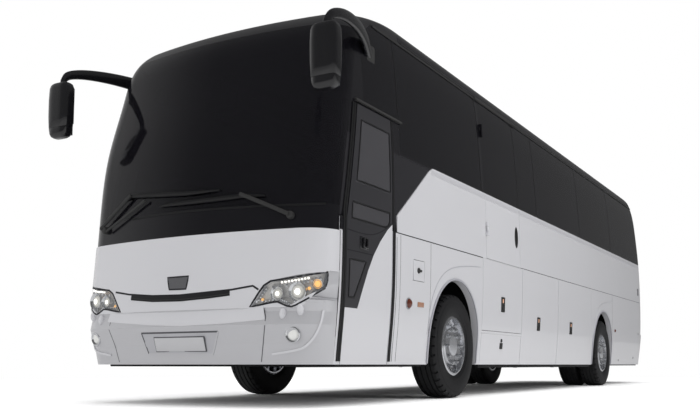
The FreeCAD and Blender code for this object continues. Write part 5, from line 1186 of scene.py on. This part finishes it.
@dataclass
class Nose:
    """The fittings of the nose: lid line, slit, lamps, fog lamps, washers, inset, seams and plate."""

    sides: Sides

    def build(self) -> None:
        """Makes the pieces of the nose."""
        self.lines()
        self.wings()
        self.headlamps()
        self.bumper()
        self.inset()
        seal = Shaper("windscreen_seal", Paint.SEAL, "black_plastic")
        seal.strip(self.sides.seen(SCREEN_FOOT), 0.018, 0.004, SEAM_SINK).finish()

    def lines(self) -> None:
        """Draws the black line of the lid, the slit under it and the seams of the bumper."""
        vane_line = [(across, down + 1.0) for across, down in SLIT_LINE]
        for name, finish, line, steps, width, rise in (
                ("lid_line", Paint.SEAM, LID_LINE, 4, 0.015, 0.001),
                ("grille_slit", Paint.SLIT, SLIT_LINE, 6, 0.048, 0.002),
                ("grille_vane", Paint.PLASTIC, vane_line, 6, 0.006, 0.006)):
            Shaper(name, finish, "black_plastic").strip(self.sides.seen(line, steps), width, rise).finish()
        half = self.sides.seen(BUMPER_SEAM, 8)
        seams = Shaper("bumper_seams", Paint.SEAM_AND_SHADE_GREY, "black_plastic")
        seams.strip(half, 0.007, SEAM_RISE, SEAM_SINK).strip(mirrored(half), 0.007, SEAM_RISE, SEAM_SINK)
        seams.finish()
        # A raised white strip along each corner crease of the silver bumper: a painted highlight on its edge.
        curve = self.sides.seen(bent(BUMPER_CREASE), 2)
        crease = Shaper("bumper_crease_highlights", Paint.WHITE, "white_paint", smooth=LENS_ANGLE)
        crease.strip(curve, 0.018, 0.009).strip(mirrored(curve), 0.018, 0.009).finish()

    def wings(self) -> None:
        """Carries the bumper round the lamps' outer ends, and lays a band of white along its top as a painted
        highlight.
        """
        inner, outer = self.sides.seen(WING_INNER), self.sides.seen(WING_OUTER)
        ends = Shaper("bumper_wings", Paint.SILVER, "white_paint", smooth=LENS_ANGLE)
        ends.patch(inner, outer, 0.0015).patch(mirrored(inner), mirrored(outer), 0.0015).finish()
        step = Shaper("bumper_step_highlight", Paint.WHITE, "white_paint", smooth=LENS_ANGLE)
        step.patch(self.sides.seen(STEP_TOP, 6), self.sides.seen(STEP_FOOT, 6), 0.0010).finish()
        corner = Shaper("mask_corner_trims", Paint.BLACK, "black_gloss", smooth=LENS_ANGLE)
        for hand in BOTH:
            corner.strip(self.sides.line([(-2.309, 1.395), (-2.309, 1.515)], hand), 0.058, 0.004)
        corner.finish()

    def headlamps(self) -> None:
        """Builds both headlamps: a dark edge, a bright bowl with its reflectors, and lit lenses."""
        edge = self.sides.seen(LAMP_EDGE + LAMP_EDGE[:1], 3)[:-1]
        for hand in BOTH:
            self.headlamp(hand, edge if hand == LEFT else mirrored(edge))

    def headlamp(self, hand: int, edge: Sequence[Place]) -> None:
        """Builds one headlamp.

        Args:
            hand: the side.
            edge: the lamp's outline on that side.
        """
        side = SIDE_NAMES[hand]

        def lit_places(line: Sequence[Spot], steps: int) -> list[Place]:
            """Lays a line of the picture on this side's lamp."""
            path = self.sides.seen(line, steps)
            return path if hand == LEFT else mirrored(path)

        rim = Shaper(f"headlamp_edge_{side}", Paint.SEAM, "black_plastic")
        rim.strip(edge, 0.013, 0.002, loop=True).finish()
        Shaper(f"headlamp_bowl_{side}", Paint.REFLECTOR_SATIN, "rim_steel").sheet(edge, -0.036).finish()
        rings = Shaper(f"headlamp_rings_{side}", Paint.CHROME, "rim_steel")
        vanes = Shaper(f"headlamp_vanes_{side}", Paint.CHROME, "rim_steel")
        glass = Shaper(f"headlamp_lenses_{side}", Paint.LAMP_GLASS, "lamp_glass", smooth=LENS_ANGLE)
        lit = Shaper(f"headlamp_lights_{side}", Paint.LIT, "lamp_glass", smooth=LENS_ANGLE)
        for spot, radius in PROJECTORS:
            point, normal = lit_places([spot], 1)[0]
            way = (normal - BACK_Y * 1.5).normalized()
            middle = point - way * 0.030
            rings.lathe([(-0.012, radius * 0.60), (0.006, radius * 0.80), (0.020, radius),
                         (0.024, radius * 1.06), (0.020, radius * 1.10), (-0.006, radius * 1.06)],
                        middle, way, 40, closed=False)
            glass.dome((middle, way), radius * 0.74, (1, 1, 0.40), 24)
            lit.dome((middle, way), radius * 0.42, (1, 1, 0.40), 20, out=radius * 0.18)
        for place in lit_places(LED_ROW, 8):
            lit.slab(place, (0.017, 0.014, 0.010), -0.014, bevel=0.002)
        for line, sink, size in ((UPPER_VANES, 0.026, (0.026, 0.020, 0.016)),
                                 (LOWER_VANES, 0.028, (0.024, 0.014, 0.014))):
            for point, normal in lit_places(line, 5):
                vanes.block(point - normal * sink, size, Shaper.turned(normal, OUT_X), 0.004)
        for shaper in (rings, vanes, glass, lit):
            shaper.finish()
        warm = Shaper(f"headlamp_indicators_{side}", Paint.LIT_AMBER, "amber_lens", smooth=LENS_ANGLE)
        for spot, radius in INDICATORS:
            warm.dome(lit_places([spot], 1)[0], radius, (1, 1, 0.6), 20, out=-0.020)
        warm.finish()
        point, normal = lit_places([INDICATORS[0][0]], 1)[0]
        bezel = Shaper(f"headlamp_indicator_rims_{side}", Paint.CHROME, "rim_steel")
        bezel.lathe([(-0.010, 0.028), (0.004, 0.033), (0.008, 0.038), (0.002, 0.041), (-0.010, 0.040)],
                    point - normal * 0.020, normal, 32)
        bezel.finish()

    def bumper(self) -> None:
        """Makes the fog lamps, the washer covers, and the plate's recess in painted shade with its blank
        plate.
        """
        fog = self.sides.sight(*FOG_LAMP)[0]
        for hand in BOTH:
            side = SIDE_NAMES[hand]
            point, normal = self.sides.ahead(hand * fog.x, fog.z)
            way = (normal - BACK_Y).normalized()
            ring = Shaper(f"fog_lamp_rim_{side}", Paint.CHROME, "rim_steel")
            ring.lathe([(-0.010, 0.040), (0.004, 0.047), (0.010, 0.056), (0.006, 0.062), (-0.010, 0.064)],
                       point + way * 0.001, way, 40)
            ring.finish()
            glass = Shaper(f"fog_lamp_lens_{side}", Paint.LIT_SOFT, "lamp_glass", smooth=LENS_ANGLE)
            glass.dome((point, way), 0.044, (1, 1, 0.30), out=-0.004).finish()
        # The washer covers are white, brighter than the silver bumper round them: a painted highlight on the
        # bumps.
        covers = Shaper("washer_covers", Paint.WHITE, "white_paint", smooth=LENS_ANGLE)
        for spot in WASHERS:
            place = self.sides.sight(*spot)
            for seat in (place, *mirrored([place])):
                covers.dome(seat, 0.5, (0.056, 0.100, 0.060), 24)
        covers.finish()
        # The recess is a sheet just off the bumper. Its darker silver is painted shade, and the grey strips
        # on its upper and left edges are painted shadow. Its lower and right edges keep the bumper's silver.
        edge = self.sides.seen(RECESS_EDGE, 8)[:-1]
        Shaper("plate_recess_floor_shade", Paint.RECESS, "white_paint").sheet(edge, 0.0012).finish()
        dark = Shaper("plate_recess_edge_shades", Paint.SEAM_AND_SHADE_GREY, "grey_plastic")
        dark.strip(edge[:9], 0.014, 0.002, SEAM_SINK)
        dark.strip(edge[24:] + edge[:1], 0.012, 0.002, SEAM_SINK).finish()
        light = Shaper("plate_recess_lips", Paint.SILVER, "white_paint")
        light.strip(edge[8:25], 0.014, 0.004, SEAM_SINK).finish()
        place = self.sides.sight(*PLATE_MIDDLE)
        for name, finish, size, out in (
                ("plate_rim", Paint.SEAM_AND_SHADE_GREY, (0.535, 0.128, 0.008), 0.004),
                ("blank_number_plate", Paint.PLATE, (0.520, 0.113, 0.008), 0.008)):
            Shaper(name, finish, "grey_plastic").slab(place, size, out).finish()

    def inset(self) -> None:
        """Makes the plain grey inset above the slit."""
        path = self.sides.seen(INSET_EDGE, 3)[:-1]
        rim = Shaper("inset_rim", Paint.SEAM, "black_plastic")
        rim.strip(path, 0.012, 0.003, SEAM_SINK, loop=True).finish()
        Shaper("inset_pane", Paint.TRIM_GREY, "grey_plastic").sheet(path, 0.002).finish()


@dataclass
class Mirrors:
    """The two outside mirrors: a broad arm that thins towards the head, and a tapered head with its glass."""

    arm: tuple[tuple[float, float, float], ...] = (
        (1.19, -1.72, 3.035), (1.27, -1.93, 3.075), (1.335, -2.14, 3.085), (1.385, -2.36, 3.070),
        (1.415, -2.56, 3.035), (1.420, -2.71, 2.980), (1.412, -2.770, 2.910), (1.410, -2.775, 2.850))
    head: tuple[float, float, float] = (1.410, -2.785, 2.630)
    levels: tuple[tuple[float, float, float], ...] = (
        (0.258, 0.060, 0.030), (0.252, 0.085, 0.044), (0.236, 0.104, 0.056), (0.205, 0.116, 0.063),
        (0.10, 0.121, 0.066), (-0.05, 0.119, 0.066), (-0.158, 0.113, 0.062), (-0.162, 0.108, 0.058),
        (-0.166, 0.112, 0.061), (-0.215, 0.104, 0.057), (-0.240, 0.090, 0.048), (-0.254, 0.066, 0.034),
        (-0.259, 0.042, 0.020))
    squareness: float = 4.5
    sides_round: int = 32

    def build(self) -> None:
        """Makes the mirrors in place of their plain CAD forms."""
        arms = Shaper("mirror_arms", Paint.MIRROR_SHELL, "black_plastic", smooth=BAR_ANGLE,
                      stands_for=("mirrors",))
        shells = Shaper("mirror_heads", Paint.MIRROR_SHELL, "black_plastic", smooth=BAR_ANGLE)
        feet = Shaper("mirror_feet", Paint.PLASTIC, "black_plastic", smooth=BAR_ANGLE)
        glasses = Shaper("mirror_glasses", Paint.MIRROR, "rim_steel")
        for hand in BOTH:
            path = smooth_path([(hand * x, from_axle(back), z) for x, back, z in self.arm], 6)
            count = len(path) - 1
            radii = [0.074 - 0.040 * min(1.0, step / count * 1.25) for step in range(count + 1)]
            arms.tube(path, radii, 0.52, 20)
            middle = Vector((hand * self.head[0], from_axle(self.head[1]), self.head[2]))
            self.shell(shells, middle)
            pane = (middle, BACK_Y)
            glasses.slab(pane, (0.190, 0.330, 0.006), 0.062, 0.045, bevel=0.002)
            glasses.slab(pane, (0.170, 0.090, 0.006), 0.062, -0.180, bevel=0.002)
            feet.block(Vector((hand * 1.195, from_axle(-1.72), 3.02)), (0.05, 0.16, 0.17), bevel=0.02)
        for shaper in (arms, shells, feet, glasses):
            shaper.finish()

    def shell(self, shaper: Shaper, middle: Vector) -> None:
        """Adds one head: a rounded box that narrows downwards, with a line round it.

        Args:
            shaper: the piece that it joins.
            middle: the head's middle.
        """
        rings = []
        for high, half, deep in self.levels:
            shape = Matrix.Translation(middle + UP * high) @ Matrix.Diagonal((half, deep, 1.0, 1.0))
            ring = bmesh.ops.create_circle(shaper.bm, segments=self.sides_round, radius=1.0,
                                           matrix=Matrix.Identity(4))["verts"]
            for vert in ring:
                x, y = vert.co.x, vert.co.y
                grown = (abs(x) ** self.squareness + abs(y) ** self.squareness) ** (-1 / self.squareness)
                vert.co = shape @ Vector((x * grown, y * grown, 0))
            rings.append(ring)
        shaper.joined(rings)


# The wipers' arms with their half thickness, their pivots and their blades, as places in the photograph
WIPER_ARMS = ((((105.0, 231.0), (134.0, 197.0)), 0.017), (((110.5, 233.5), (148.0, 202.5)), 0.012),
              (((290.5, 216.0), (265.0, 205.0), (242.0, 195.6)), 0.017))
WIPER_PIVOTS = ((108.0, 232.0), (291.0, 216.4))
WIPER_BLADES = (((126.5, 201.0), (134.0, 197.4), (190.0, 194.8), (221.0, 191.4)),
                ((162.1, 207.9), (180.0, 205.0), (242.0, 197.6), (265.8, 196.9)))


@dataclass
class Wipers:
    """The two wipers, parked along the foot of the windscreen."""

    sides: Sides

    def lifted(self, places: Sequence[Spot], rise: float) -> list[Vector]:
        """Points off the glass under places of the picture."""
        return [point + normal * rise for point, normal in self.sides.seen(places, 6)]

    def build(self) -> None:
        """Makes the wipers in place of their plain CAD forms."""
        arms = Shaper("wiper_arms", Paint.PLASTIC, "black_plastic", smooth=BAR_ANGLE, stands_for=("wipers",))
        for places, radius in WIPER_ARMS:
            path = self.lifted(places, 0.036)
            arms.tube(path, [radius] * len(path), 0.7, 10)
        for spot in WIPER_PIVOTS:
            arms.stud(self.sides.sight(*spot), 0.034, 0.028, 0.042, 24, 0.004, bevel=0.003)
        arms.finish()
        blades = Shaper("wiper_blades", Paint.SEAL, "black_plastic", smooth=BAR_ANGLE)
        for places in WIPER_BLADES:
            path = self.lifted(places, 0.022)
            count = len(path) - 1
            blades.tube(path, [0.006 + 0.013 * math.sin(math.pi * step / count) for step in range(count + 1)],
                        0.8, 8)
            blades.tube(self.lifted(places, 0.008), [0.004] * len(path), 2.0, 6)
        blades.finish()


@dataclass
class Tail:
    """The fittings of the tail: lamps, louvres, blank plate, stop lamp, reflectors and seals."""

    sides: Sides
    lamp_side: float = 1.052
    louvre_count: int = 9
    louvre_low: float = 1.20
    louvre_pitch: float = 0.045
    louvre_lean: float = math.radians(22)

    def build(self) -> None:
        """Makes the pieces of the tail."""
        self.lamps()
        self.panel()

    def lamps(self) -> None:
        """Builds the lamp stacks: a dark housing with four round lenses."""
        housing = Shaper("tail_lamp_housings", Paint.SEAL, "black_plastic", stands_for=("tail_lamps",))
        rims = Shaper("tail_lamp_rims", Paint.CHROME, "rim_steel")
        stop, turn, reverse = (
            Shaper(name, finish, slot, smooth=LENS_ANGLE) for name, finish, slot in (
                ("stop_lenses", Paint.RED, "red_lens"), ("indicator_lenses", Paint.AMBER, "amber_lens"),
                ("reversing_lenses", Paint.WHITE_LENS, "amber_lens")))
        ring = [(-0.004, 0.047), (0.009, 0.050), (0.009, 0.055), (-0.004, 0.057)]
        for hand in BOTH:
            for high, lens in ((1.435, stop), (1.315, turn), (1.195, stop), (1.075, reverse)):
                place = self.sides.behind(hand * self.lamp_side, high)
                housing.slab(place, (0.172, 0.119, 0.020), -0.004, bevel=0.004)
                lens.dome(place, 0.048, (1, 1, 0.20), out=0.002)
                rims.lathe(ring, *place, 40)
        for shaper in (housing, rims, stop, turn, reverse):
            shaper.finish()

    def panel(self) -> None:
        """Adds the louvres, handle, plate, high stop lamp, reflectors and the rear window's seal."""
        body = body_of_node("engine_door")
        louvres = Shaper("engine_door_louvres", Paint.TRIM_GREY, "grey_plastic", body)
        for row in range(self.louvre_count):
            point, normal = self.sides.behind(0.0, self.louvre_low + row * self.louvre_pitch)
            turn = Shaper.turned(normal) @ Matrix.Rotation(self.louvre_lean, 4, "X")
            louvres.block(point - normal * 0.006, (1.10, 0.030, 0.006), turn, 0.002)
        louvres.finish()
        for name, finish, slot, rider, high, size, out, bevel in (
                ("engine_door_grip", Paint.PLASTIC, "black_plastic", body, 1.03, (0.22, 0.06, 0.014), -0.004,
                 0.006),
                ("rear_blank_plate", Paint.PLATE, "grey_plastic", "body", 0.70, (0.52, 0.12, 0.010), 0.001,
                 0.003),
                ("high_stop_lamp", Paint.RED, "red_lens", "body", 3.20, (0.50, 0.035, 0.014), 0.004, 0.005)):
            piece = Shaper(name, finish, slot, rider)
            piece.slab(self.sides.behind(0.0, high), size, out, bevel=bevel).finish()
        reflectors = Shaper("rear_reflectors", Paint.RED, "red_lens")
        for hand in BOTH:
            reflectors.slab(self.sides.behind(hand * 0.95, 0.56), (0.14, 0.045, 0.012), 0.005, bevel=0.004)
        reflectors.finish()
        corners = ((-0.975, 2.16), (0.975, 2.16), (0.915, 3.12), (-0.915, 3.12), (-0.975, 2.16))
        path = [self.sides.behind(*place) for place in between(corners, 8)[:-1]]
        Shaper("rear_window_seal", Paint.SEAL, "black_plastic").strip(path, 0.020, 0.004, loop=True).finish()


@dataclass
class Roof:
    """The roof's seams, and the housing, slats and fans of its unit."""

    sides: Sides
    seam_places: tuple[float, ...] = (-1.10, 2.70, 6.75)
    seam_half: float = 1.10
    lid_drop: float = 0.006
    slat_count: int = 24
    slat_margin: float = 0.16
    fan_side: float = 0.48
    blade_count: int = 6
    blade_pitch: float = 0.35

    def build(self) -> None:
        """Makes the roof's small pieces."""
        seams = Shaper("roof_seams", Paint.SEAM, "black_plastic")
        for back in self.seam_places:
            path = [self.sides.over(*place)
                    for place in between([(-self.seam_half, back), (self.seam_half, back)], 30)]
            seams.strip(path, 0.012, 0.001, SEAM_SINK)
        seams.finish()
        low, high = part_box("roof_unit")
        middle = (Vector(low) + Vector(high)) / 2
        length = high[1] - low[1]
        lid = high[2] - self.lid_drop
        housing = Shaper("roof_unit_housing", Paint.PLASTIC, "white_paint", smooth=FLAT_ANGLE,
                         stands_for=("roof_unit",))
        housing.block(Vector((middle.x, middle.y, (low[2] + lid) / 2)),
                      (high[0] - low[0], length, lid - low[2]), None, 0.018, 4).finish()
        slats = Shaper("roof_unit_slats", Paint.TRIM_GREY, "grey_plastic")
        for row in range(self.slat_count):
            y = low[1] + self.slat_margin + row * (length - 2 * self.slat_margin) / (self.slat_count - 1)
            slats.block(Vector((middle.x, y, lid - 0.001)), (0.70, 0.030, 0.012))
        slats.finish()
        fans = Shaper("roof_unit_fans", Paint.PLASTIC, "black_plastic")
        for share in (0.2, 0.5, 0.8):
            for hand in BOTH:
                self.fan(fans, Vector((hand * self.fan_side, low[1] + length * share, lid - 0.004)))
        fans.finish()

    def fan(self, shaper: Shaper, centre: Vector) -> None:
        """Adds one fan: its ring, hub and blades.

        Args:
            shaper: the piece that it joins.
            centre: the fan's middle.
        """
        shaper.lathe([(0.0, 0.11), (0.008, 0.115), (0.010, 0.125), (0.0, 0.130)], centre, UP, 36)
        shaper.cone(centre, UP, 0.04, 0.03, 0.008)
        for blade in range(self.blade_count):
            angle = math.tau * blade / self.blade_count
            turn = Matrix.Rotation(angle, 4, "Z") @ Matrix.Rotation(self.blade_pitch, 4, "X")
            way = Vector((math.cos(angle), math.sin(angle), 0))
            shaper.block(centre + way * 0.075, (0.07, 0.026, 0.003), turn, 0.0)


@dataclass
class Cabin:
    """The padded seats, the driver's controls and the screen's inner mirror."""

    rows: int = 11
    pitch: float = 0.78
    first: float = -0.35
    floor: float = 1.45
    squareness: float = 6.0
    lean: float = 7.8
    pair_side: float = 0.68
    seat_half: float = 0.225
    driver_x: float = -0.72

    def pad(self, shaper: Shaper, middle: Sequence[float], size: Sequence[float], lean: float = 0.0) -> None:
        """Adds one stuffed pad: a box with round edges and faces that swell in their middle.

        Args:
            shaper: the piece that it joins.
            middle: its middle.
            size: its width, depth and height.
            lean: how far it leans back, in degrees.
        """
        turn = Matrix.Rotation(math.radians(-lean), 4, "X")
        made = bmesh.ops.create_uvsphere(shaper.bm, u_segments=24, v_segments=12, radius=1.0)["verts"]
        for vert in made:
            way = vert.co.copy()
            grown = sum(abs(part) ** self.squareness for part in way) ** (-1 / self.squareness)
            local = Vector((way.x * size[0], way.y * size[1], way.z * size[2])) * (grown / 2)
            vert.co = Vector(middle) + turn @ local

    def build(self) -> None:
        """Makes the seats, the driver's place and the instruments."""
        pads = Shaper("passenger_seat_pads", Paint.FABRIC, "seat_fabric", smooth=LENS_ANGLE,
                      stands_for=("passenger_seats",))
        shells = Shaper("passenger_seat_shells", Paint.LEATHER, "grey_plastic")
        rests = Shaper("passenger_seat_armrests", Paint.LEATHER, "grey_plastic")
        leaning = Matrix.Rotation(math.radians(-self.lean), 4, "X")
        for row in range(self.rows):
            y = from_axle(self.first + row * self.pitch)
            for hand in BOTH:
                x = hand * self.pair_side
                for seat in (x - self.seat_half, x + self.seat_half):
                    self.pad(pads, (seat, y + 0.215, self.floor + 0.375), (0.430, 0.430, 0.115))
                    self.pad(pads, (seat, y + 0.450, self.floor + 0.770), (0.430, 0.095, 0.680), self.lean)
                    self.pad(pads, (seat, y + 0.502, self.floor + 1.080), (0.270, 0.070, 0.130), self.lean)
                shells.block(Vector((x, y + 0.21, self.floor + 0.305)), (0.86, 0.36, 0.025), None, 0.006)
                shells.block(Vector((x, y + 0.21, self.floor + 0.15)), (0.70, 0.12, 0.30), None, 0.02)
                shells.block(Vector((x, y + 0.495, self.floor + 0.760)), (0.88, 0.020, 0.64), leaning, 0.008)
                rests.block(Vector((hand * 0.24, y + 0.28, self.floor + 0.60)), (0.045, 0.33, 0.035), None,
                            0.012)
        pads.finish(mend=False)
        shells.finish()
        rests.finish()
        self.driver()
        self.instruments()

    def driver(self) -> None:
        """Makes the driver's seat."""
        low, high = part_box("driver_seat")
        x = (low[0] + high[0]) / 2
        seat = Shaper("driver_seat_pads", Paint.FABRIC, "seat_fabric", smooth=LENS_ANGLE,
                      stands_for=("driver_seat",))
        self.pad(seat, (x, low[1] + 0.23, low[2] + 0.305), (0.48, 0.45, 0.11))
        self.pad(seat, (x, high[1] - 0.055, low[2] + 0.70), (0.48, 0.105, 0.66))
        self.pad(seat, (x, high[1] - 0.055, high[2] - 0.045), (0.27, 0.09, 0.085))
        seat.finish(mend=False)
        base = Shaper("driver_seat_base", Paint.PLASTIC, "black_plastic")
        base.block(Vector((x, low[1] + 0.24, low[2] + 0.125)), (0.34, 0.34, 0.25), None, 0.03).finish()

    def instruments(self) -> None:
        """Makes the hood and dials on the dashboard, and the mirror inside the screen."""
        _low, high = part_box("dashboard")
        hood = Shaper("instrument_hood", Paint.PLASTIC, "black_plastic")
        hood.block(Vector((self.driver_x, high[1] - 0.12, high[2] + 0.035)), (0.52, 0.20, 0.10), None, 0.04)
        hood.finish()
        dials = Shaper("instrument_dials", Paint.TRIM_GREY, "grey_plastic")
        for offset in (-0.15, 0.0, 0.15):
            middle = Vector((self.driver_x + offset, high[1] - 0.022, high[2] + 0.045))
            dials.cone(middle, BACK_Y, 0.034, 0.034, 0.006)
        dials.finish()
        inner = Shaper("inner_mirror", Paint.PLASTIC, "black_plastic")
        inner.block(Vector((0.05, from_axle(-2.30), 2.62)), (0.34, 0.03, 0.15), None, 0.012)
        stalk = [Vector((0.05, from_axle(-2.30), 2.68)), Vector((0.05, from_axle(-2.31), 2.84))]
        inner.tube(stalk, [0.010, 0.010]).finish()


@dataclass
class Studio:
    """The floor, the backdrop, the lights and the camera."""

    floor_half: float = 60.0
    floor_grey: float = 0.86
    floor_gain: float = 1.5
    fade_start: float = 6.5
    fade_end: float = 13.0
    lens: float = 862.0
    picture_width: float = 700.0
    picture_middle: float = 206.0
    sensor: float = 36.0
    shift: float = 0.10
    fill: float = 0.60
    mirrored_sky: float = 0.15
    mirrored_glow: float = 0.75

    def build(self) -> None:
        """Sets up the studio."""
        self.floor()
        self.world()
        self.lamps()
        self.camera()
        bpy.context.scene.view_settings.view_transform = "Standard"

    @staticmethod
    def added(name: str, data: bpy.types.ID) -> bpy.types.Object:
        """Puts an object with some data into the scene."""
        made = bpy.data.objects.new(name, data)
        bpy.context.scene.collection.objects.link(made)
        return made

    @staticmethod
    def aimed(piece: bpy.types.Object, place: Sequence[float], way: Vector) -> None:
        """Sets a light or camera at a place, to look along a direction."""
        piece.location = place
        piece.rotation_mode = "QUATERNION"
        piece.rotation_quaternion = way.to_track_quat("-Z", "Y")

    def floor(self) -> None:
        """Makes the pale floor, which turns to the backdrop's white away from the coach."""
        bm = bmesh.new()
        bmesh.ops.create_grid(bm, x_segments=1, y_segments=1, size=self.floor_half)
        mesh = bpy.data.meshes.new("studio_floor")
        bm.to_mesh(mesh)
        bm.free()
        floor = self.added("studio_floor", mesh)
        made = bpy.data.materials.new("studio_floor_white")
        made.use_nodes = True
        nodes = Nodes(made.node_tree)
        shader = nodes.first("BSDF_PRINCIPLED")
        nodes.fill(shader, {"Base Color": (*[self.floor_grey] * 3, 1), "Roughness": 0.6,
                            "Specular IOR Level": 0.15})
        place = nodes.add("TexCoord")
        length = nodes.add("VectorMath", {0: place.outputs["Object"]}, "LENGTH")
        fade = nodes.add("MapRange", {"Value": length.outputs["Value"], "From Min": self.fade_start,
                                      "From Max": self.fade_end}, easing="SMOOTHSTEP")
        seen = nodes.add("LightPath")
        direct = nodes.add("Math", {0: seen.outputs["Is Camera Ray"], 1: seen.outputs["Is Transmission Ray"]},
                           "MAXIMUM")
        both = nodes.add("Math", {0: fade.outputs["Result"], 1: direct.outputs["Value"]}, "MULTIPLY")
        gain = nodes.add("VectorMath", {0: (1.0, 1.0, 1.0), 1: (self.floor_gain,) * 3}, "MULTIPLY")
        bright = nodes.add("BsdfDiffuse", {"Color": gain.outputs["Vector"]})
        pale = nodes.add("MixShader", {"Fac": direct.outputs["Value"], 1: shader.outputs["BSDF"],
                                       2: bright.outputs["BSDF"]})
        glow = nodes.add("Emission", {"Color": (1, 1, 1, 1), "Strength": 1.0})
        mix = nodes.add("MixShader", {"Fac": both.outputs["Value"], 1: pale.outputs["Shader"],
                                      2: glow.outputs["Emission"]})
        nodes.fill(nodes.first("OUTPUT_MATERIAL"), {"Surface": mix.outputs["Shader"]})
        mesh.materials.append(made)

    def world(self) -> None:
        """Makes the white backdrop and the plain light that fills in from all round."""
        world = bpy.data.worlds.new("studio")
        bpy.context.scene.world = world
        world.use_nodes = True
        nodes = Nodes(world.node_tree)
        seen = nodes.add("LightPath")
        place = nodes.add("TexCoord")
        parts = nodes.add("SeparateXYZ", {"Vector": place.outputs["Generated"]})
        glow = nodes.add("MapRange", {"Value": parts.outputs["X"], "From Min": -0.55, "From Max": -1.0,
                                      "To Min": self.mirrored_sky, "To Max": self.mirrored_glow},
                         easing="SMOOTHSTEP")
        reflected = nodes.add("Mix", {"Factor": seen.outputs["Is Glossy Ray"], "A": self.fill,
                                      "B": glow.outputs["Result"]})
        direct = nodes.add("Mix", {"Factor": seen.outputs["Is Camera Ray"], "A": reflected.outputs["Result"],
                                   "B": 1.0})
        nodes.fill(nodes.first("BACKGROUND"), {"Strength": direct.outputs["Result"],
                                               "Color": (1.0, 1.0, 1.0, 1.0)})

    def lamps(self) -> None:
        """Hangs three large soft lights."""
        for name, place, aim, size, power in (
                ("overhead_light", (1.0, -1.0, 10.0), (0, 0, 0), (12.0, 18.0), 560.0),
                ("side_light", (12.0, -2.0, 5.5), (0, 0, 1.2), (6.0, 14.0), 430.0),
                ("nose_light", (-2.0, -16.0, 5.0), (0, -5, 1.4), (9.0, 5.0), 200.0)):
            data = bpy.data.lights.new(name, "AREA")
            data.shape = "RECTANGLE"
            data.size, data.size_y = size
            data.energy = power
            lamp = self.added(name, data)
            lamp.visible_glossy = False
            self.aimed(lamp, place, Vector(aim) - Vector(place))

    def camera(self) -> None:
        """Sets the camera at the photograph's place, with its horizon low in the picture."""
        data = bpy.data.cameras.new("camera")
        data.lens = self.lens / self.picture_width * self.sensor
        data.sensor_width = self.sensor
        data.shift_y = self.shift
        data.clip_end = 300.0
        camera = self.added("camera", data)
        pitch = math.atan((SIGHT.horizon - self.picture_middle - self.shift * self.picture_width) / self.lens)
        level = Vector((-math.sin(SIGHT.turn), math.cos(SIGHT.turn), 0))
        self.aimed(camera, SIGHT.eye, level * math.cos(pitch) + UP * math.sin(pitch))
        bpy.context.scene.camera = camera


def main() -> None:
    """Builds the dressed coach and its studio."""
    logging.basicConfig(level=logging.INFO, format="%(message)s")
    Studio().build()
    cad_finishes()
    RoadWheels().build()
    sides = Sides()
    for part in (SideTrim(sides), DoorTrim(sides), Nose(sides), Mirrors(), Wipers(sides), Tail(sides),
                 Roof(sides), Cabin()):
        part.build()


if __name__ == "__main__":
    main()
